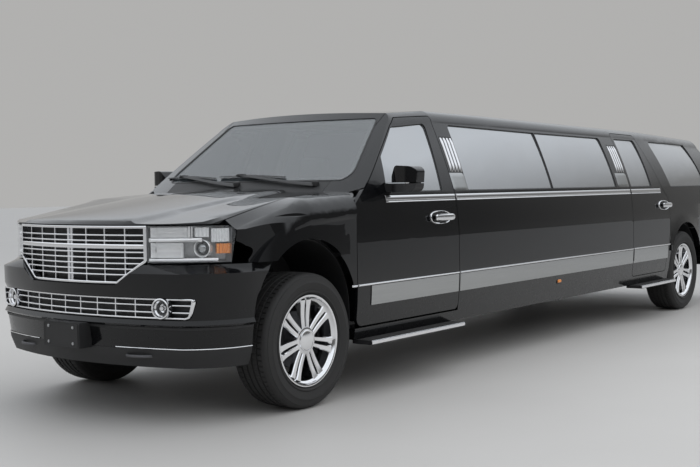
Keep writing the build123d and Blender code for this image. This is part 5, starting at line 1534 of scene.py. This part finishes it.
plinths.tube(loaf((-0.588, lounge_y, 0.588), (0.5, 3.05, 0.21), 12, (24, 24), 40))
plinths.tube(loaf((0, ra(-0.335), 0.766), (1.22, 0.52, 0.15), 12, end_power=14))
plinths.make("seat_plinths", "body", "trim_black", sharp=50)
posts = Shape()
for x in (-0.48, -0.36, 0.36, 0.48):
    posts.hoop(turned([(1.30, 0.0), (1.30, 0.006), (1.38, 0.006), (1.38, 0.0)], 12, (x, fa(1.805), 0), axis=2))
posts.make("headrest_posts", "body", "chrome")
print("seats made")

# %% [markdown]
# ## The tail
#
# The photograph doesn't show the back, so all of it is a guess at what such a car has: a bright handle bar over a
# recess for a blank plate, clear reversing windows in the lamps, reflectors, and a ribbed step on the bumper.

# %% Liftgate bar, rear plate, bumper step and reflectors
def facing_back(x0, x1, z0, z1, node, proud, curve):
    """Plate on the back of a node between two places and two heights, its rim turned down onto it."""
    x, z = np.meshgrid(np.linspace(x0, x1, 14), np.linspace(z0, z1, 6), indexing="ij")
    lift = np.full(x.shape, proud) + curve * np.cos(np.linspace(-1.3, 1.3, 6))
    return sheet(x, touch(node, 1, x, z) + turned_down(lift), z)


GATE_Y, REAR_PLATE_Z = float(box_of("liftgate")[1, 1]), 1.01
shape = Shape().tube(loaf((0.0, GATE_Y + 0.004, 1.146), (1.16, 0.034, 0.05), 3.0, (40, 20), 14, axis=0))
shape.make("liftgate_bar", "liftgate", "chrome")


def framed(width, height, rows):
    """Rounded rectangle facing backward: rows are (how far inside the outline, how far proud of the gate); one
    that is further inside than half the height is the point in the middle."""
    rings = []
    for inside, proud in rows:
        turn = np.zeros((20, 2))
        if inside < height / 2:
            turn = rounded_box(width - 2 * inside, height - 2 * inside, max(0.02 - inside, 0.001), 5)
        rings.append(sheet(turn[:, 0], GATE_Y + proud, REAR_PLATE_Z + turn[:, 1]))
    return np.stack(rings)


for name, width, height, rows, slot in (
        ("rear_plate_recess", 0.42, 0.18, [(0, -0.002), (0.0, 0.004), (0.006, 0.006), (0.014, 0.001), (0.09, 0.001)],
         "trim_black"),
        ("rear_blank_plate", 0.31, 0.15, [(0, 0.0005), (0, 0.003), (0.003, 0.004), (0.006, 0.0025), (0.08, 0.0025)],
         "bare_aluminium")):
    Shape().tube(framed(width, height, rows)).make(name, "liftgate", slot)
step_z = float(box_of("rear_bumper")[1, 2])
ribs = Shape()
for y in np.linspace(GATE_Y + 0.022, GATE_Y + 0.05, 4):
    ribs.tube(loaf((0, y, step_z - 0.001), (1.1, 0.005, 0.006), 3, (24, 10), 20, axis=0))
ribs.make("bumper_step_ribs", "body", "trim_black")
reflectors = Shape().grid(facing_back(0.56, 0.70, 0.50, 0.535, "rear_bumper", 0.003, 0.002))
both_sides(reflectors).make("bumper_reflectors", "body", "red_lens")
clear = Shape().grid(facing_back(0.845, 0.94, 0.905, 0.985, "tail_lamps", 0.0012, 0.0015))
both_sides(clear).make("reversing_windows", "body", "lamp_lens", material=milky.material)
print("tail details made")

# %% [markdown]
# ## The photograph's camera
#
# The camera was solved from the wheels, the trim lines and the grille's corners, for the wheelbase that the CAD
# has; a fit that is free to choose its own prefers a longer car.  It stands low, ahead of the left front corner,
# and looks back along the side.  Its direction is built from a turn about the vertical, a small pitch and a
# small roll, and its columns go straight into the object's matrix.

# %% Camera
CAMERA_PLACE = np.array([5.077, fa(-5.054), 1.309])
CAMERA_YAW, CAMERA_PITCH, CAMERA_ROLL = np.radians([36.73, -2.38, -0.70])
FOCAL_PX, IMAGE_W, IMAGE_H = 1115.0, 700.0, 467.0
CENTRE_PX = (353.3, 231.3)


def camera_matrix():
    """Columns are the camera's right, its up, and the way behind it."""
    ahead = np.array([-np.sin(CAMERA_YAW) * np.cos(CAMERA_PITCH), np.cos(CAMERA_YAW) * np.cos(CAMERA_PITCH),
                      np.sin(CAMERA_PITCH)])
    level = np.array([np.cos(CAMERA_YAW), np.sin(CAMERA_YAW), 0.0])
    over = np.cross(level, ahead)
    right = level * np.cos(CAMERA_ROLL) + over * np.sin(CAMERA_ROLL)
    up = over * np.cos(CAMERA_ROLL) - level * np.sin(CAMERA_ROLL)
    matrix = np.eye(4)
    matrix[:3, 0], matrix[:3, 1], matrix[:3, 2], matrix[:3, 3] = right, up, -ahead, CAMERA_PLACE
    return Matrix(matrix.tolist())


camera_data = bpy.data.cameras.new("camera")
camera_data.sensor_width = 36.0
camera_data.sensor_fit = "HORIZONTAL"
camera_data.lens = FOCAL_PX / IMAGE_W * camera_data.sensor_width
camera_data.shift_x = (IMAGE_W / 2 - CENTRE_PX[0]) / IMAGE_W
camera_data.shift_y = (CENTRE_PX[1] - IMAGE_H / 2) / IMAGE_W
camera_data.clip_end = 200.0
camera = added("camera", camera_data)
camera.matrix_world = camera_matrix()
bpy.context.scene.camera = camera
print("lens", round(camera_data.lens, 2), "mm")

# %% [markdown]
# ## Floor
#
# The floor is a plain pale slab, mottled a little.  Black paint only looks like paint when it has something
# soft to mirror, and the world does that: a grey horizon, a dark wall on the left and a pale sky.  The light
# itself comes from two broad panels, one overhead and one at the left, which are kept out of the reflections.

# %% Floor
FLOOR_REACH = 60.0
floor_mesh = bpy.data.meshes.new("floor")
floor_mesh.from_pydata([(x * FLOOR_REACH, y * FLOOR_REACH, 0) for x, y in ((-1, -1), (1, -1), (1, 1), (-1, 1))], [],
                       [(0, 1, 2, 3)])
floor = added("floor", floor_mesh)
floor_finish = Finish("studio_floor", Roughness=0.55)
floor_tone = floor_finish.noise(0.7, 4.0)
floor_finish.set(Base_Color=floor_finish.blend(floor_tone, (0.41, 0.4, 0.388, 1.0), (0.46, 0.45, 0.436, 1.0)))
floor_mesh.materials.append(floor_finish.material)


print("floor", 2 * FLOOR_REACH, "m across")

# %% [markdown]
# ## Light and world
#
# Two broad lamps give soft shadows under the car.  The world's colours are what the paint and the panes
# mirror, blended by the direction that a ray leaves in: across the car for the wall, upward for the sky.

# %% Lamps and world
def area_lamp(name, place, target, size, power):
    """Rectangular lamp that looks from a place at a target, and that no gloss mirrors."""
    data = bpy.data.lights.new(name, "AREA")
    data.shape = "RECTANGLE"
    data.size, data.size_y = size
    data.energy = power
    lamp = added(name, data)
    lamp.location = place
    lamp.rotation_euler = (Vector(target) - Vector(place)).to_track_quat("-Z", "Y").to_euler()
    lamp.visible_glossy = False


area_lamp("overhead", (0.5, 0.0, 7.0), (0, 0, 0), (7.0, 14.0), 330)
area_lamp("left_bank", (10.0, -3.0, 6.0), (0, -1.0, 0.6), (12.0, 5.0), 240)

HORIZON, FAR_WALL, SKY = (0.44, 0.437, 0.43, 1.0), (0.12, 0.119, 0.117, 1.0), (0.95, 0.99, 1.04, 1.0)
world = bpy.data.worlds.new("studio")
bpy.context.scene.world = world
world.use_nodes = True
shell = world.node_tree
direction = shell.nodes.new("ShaderNodeTexCoord")
split = shell.nodes.new("ShaderNodeSeparateXYZ")
shell.links.new(direction.outputs["Generated"], split.inputs[0])
across, rise = Sock(shell, split.outputs[0]), Sock(shell, split.outputs[2])
colour = HORIZON
for mask, other in ((across.ramp(0.12, 0.5), FAR_WALL), (rise.ramp(0.19, 0.40), SKY)):
    colour = mixed(shell, mask, colour, other)
plug(shell, colour, shell.nodes["Background"].inputs["Color"])
bpy.context.scene.view_settings.view_transform = "Standard"
print("studio ready")

# %% [markdown]
# ## Close the file
#
# A last helper turns the corners of a box into plain numbers.

# %% Sizes and finish
def plain(box):
    return [[float(v) for v in corner] for corner in box]
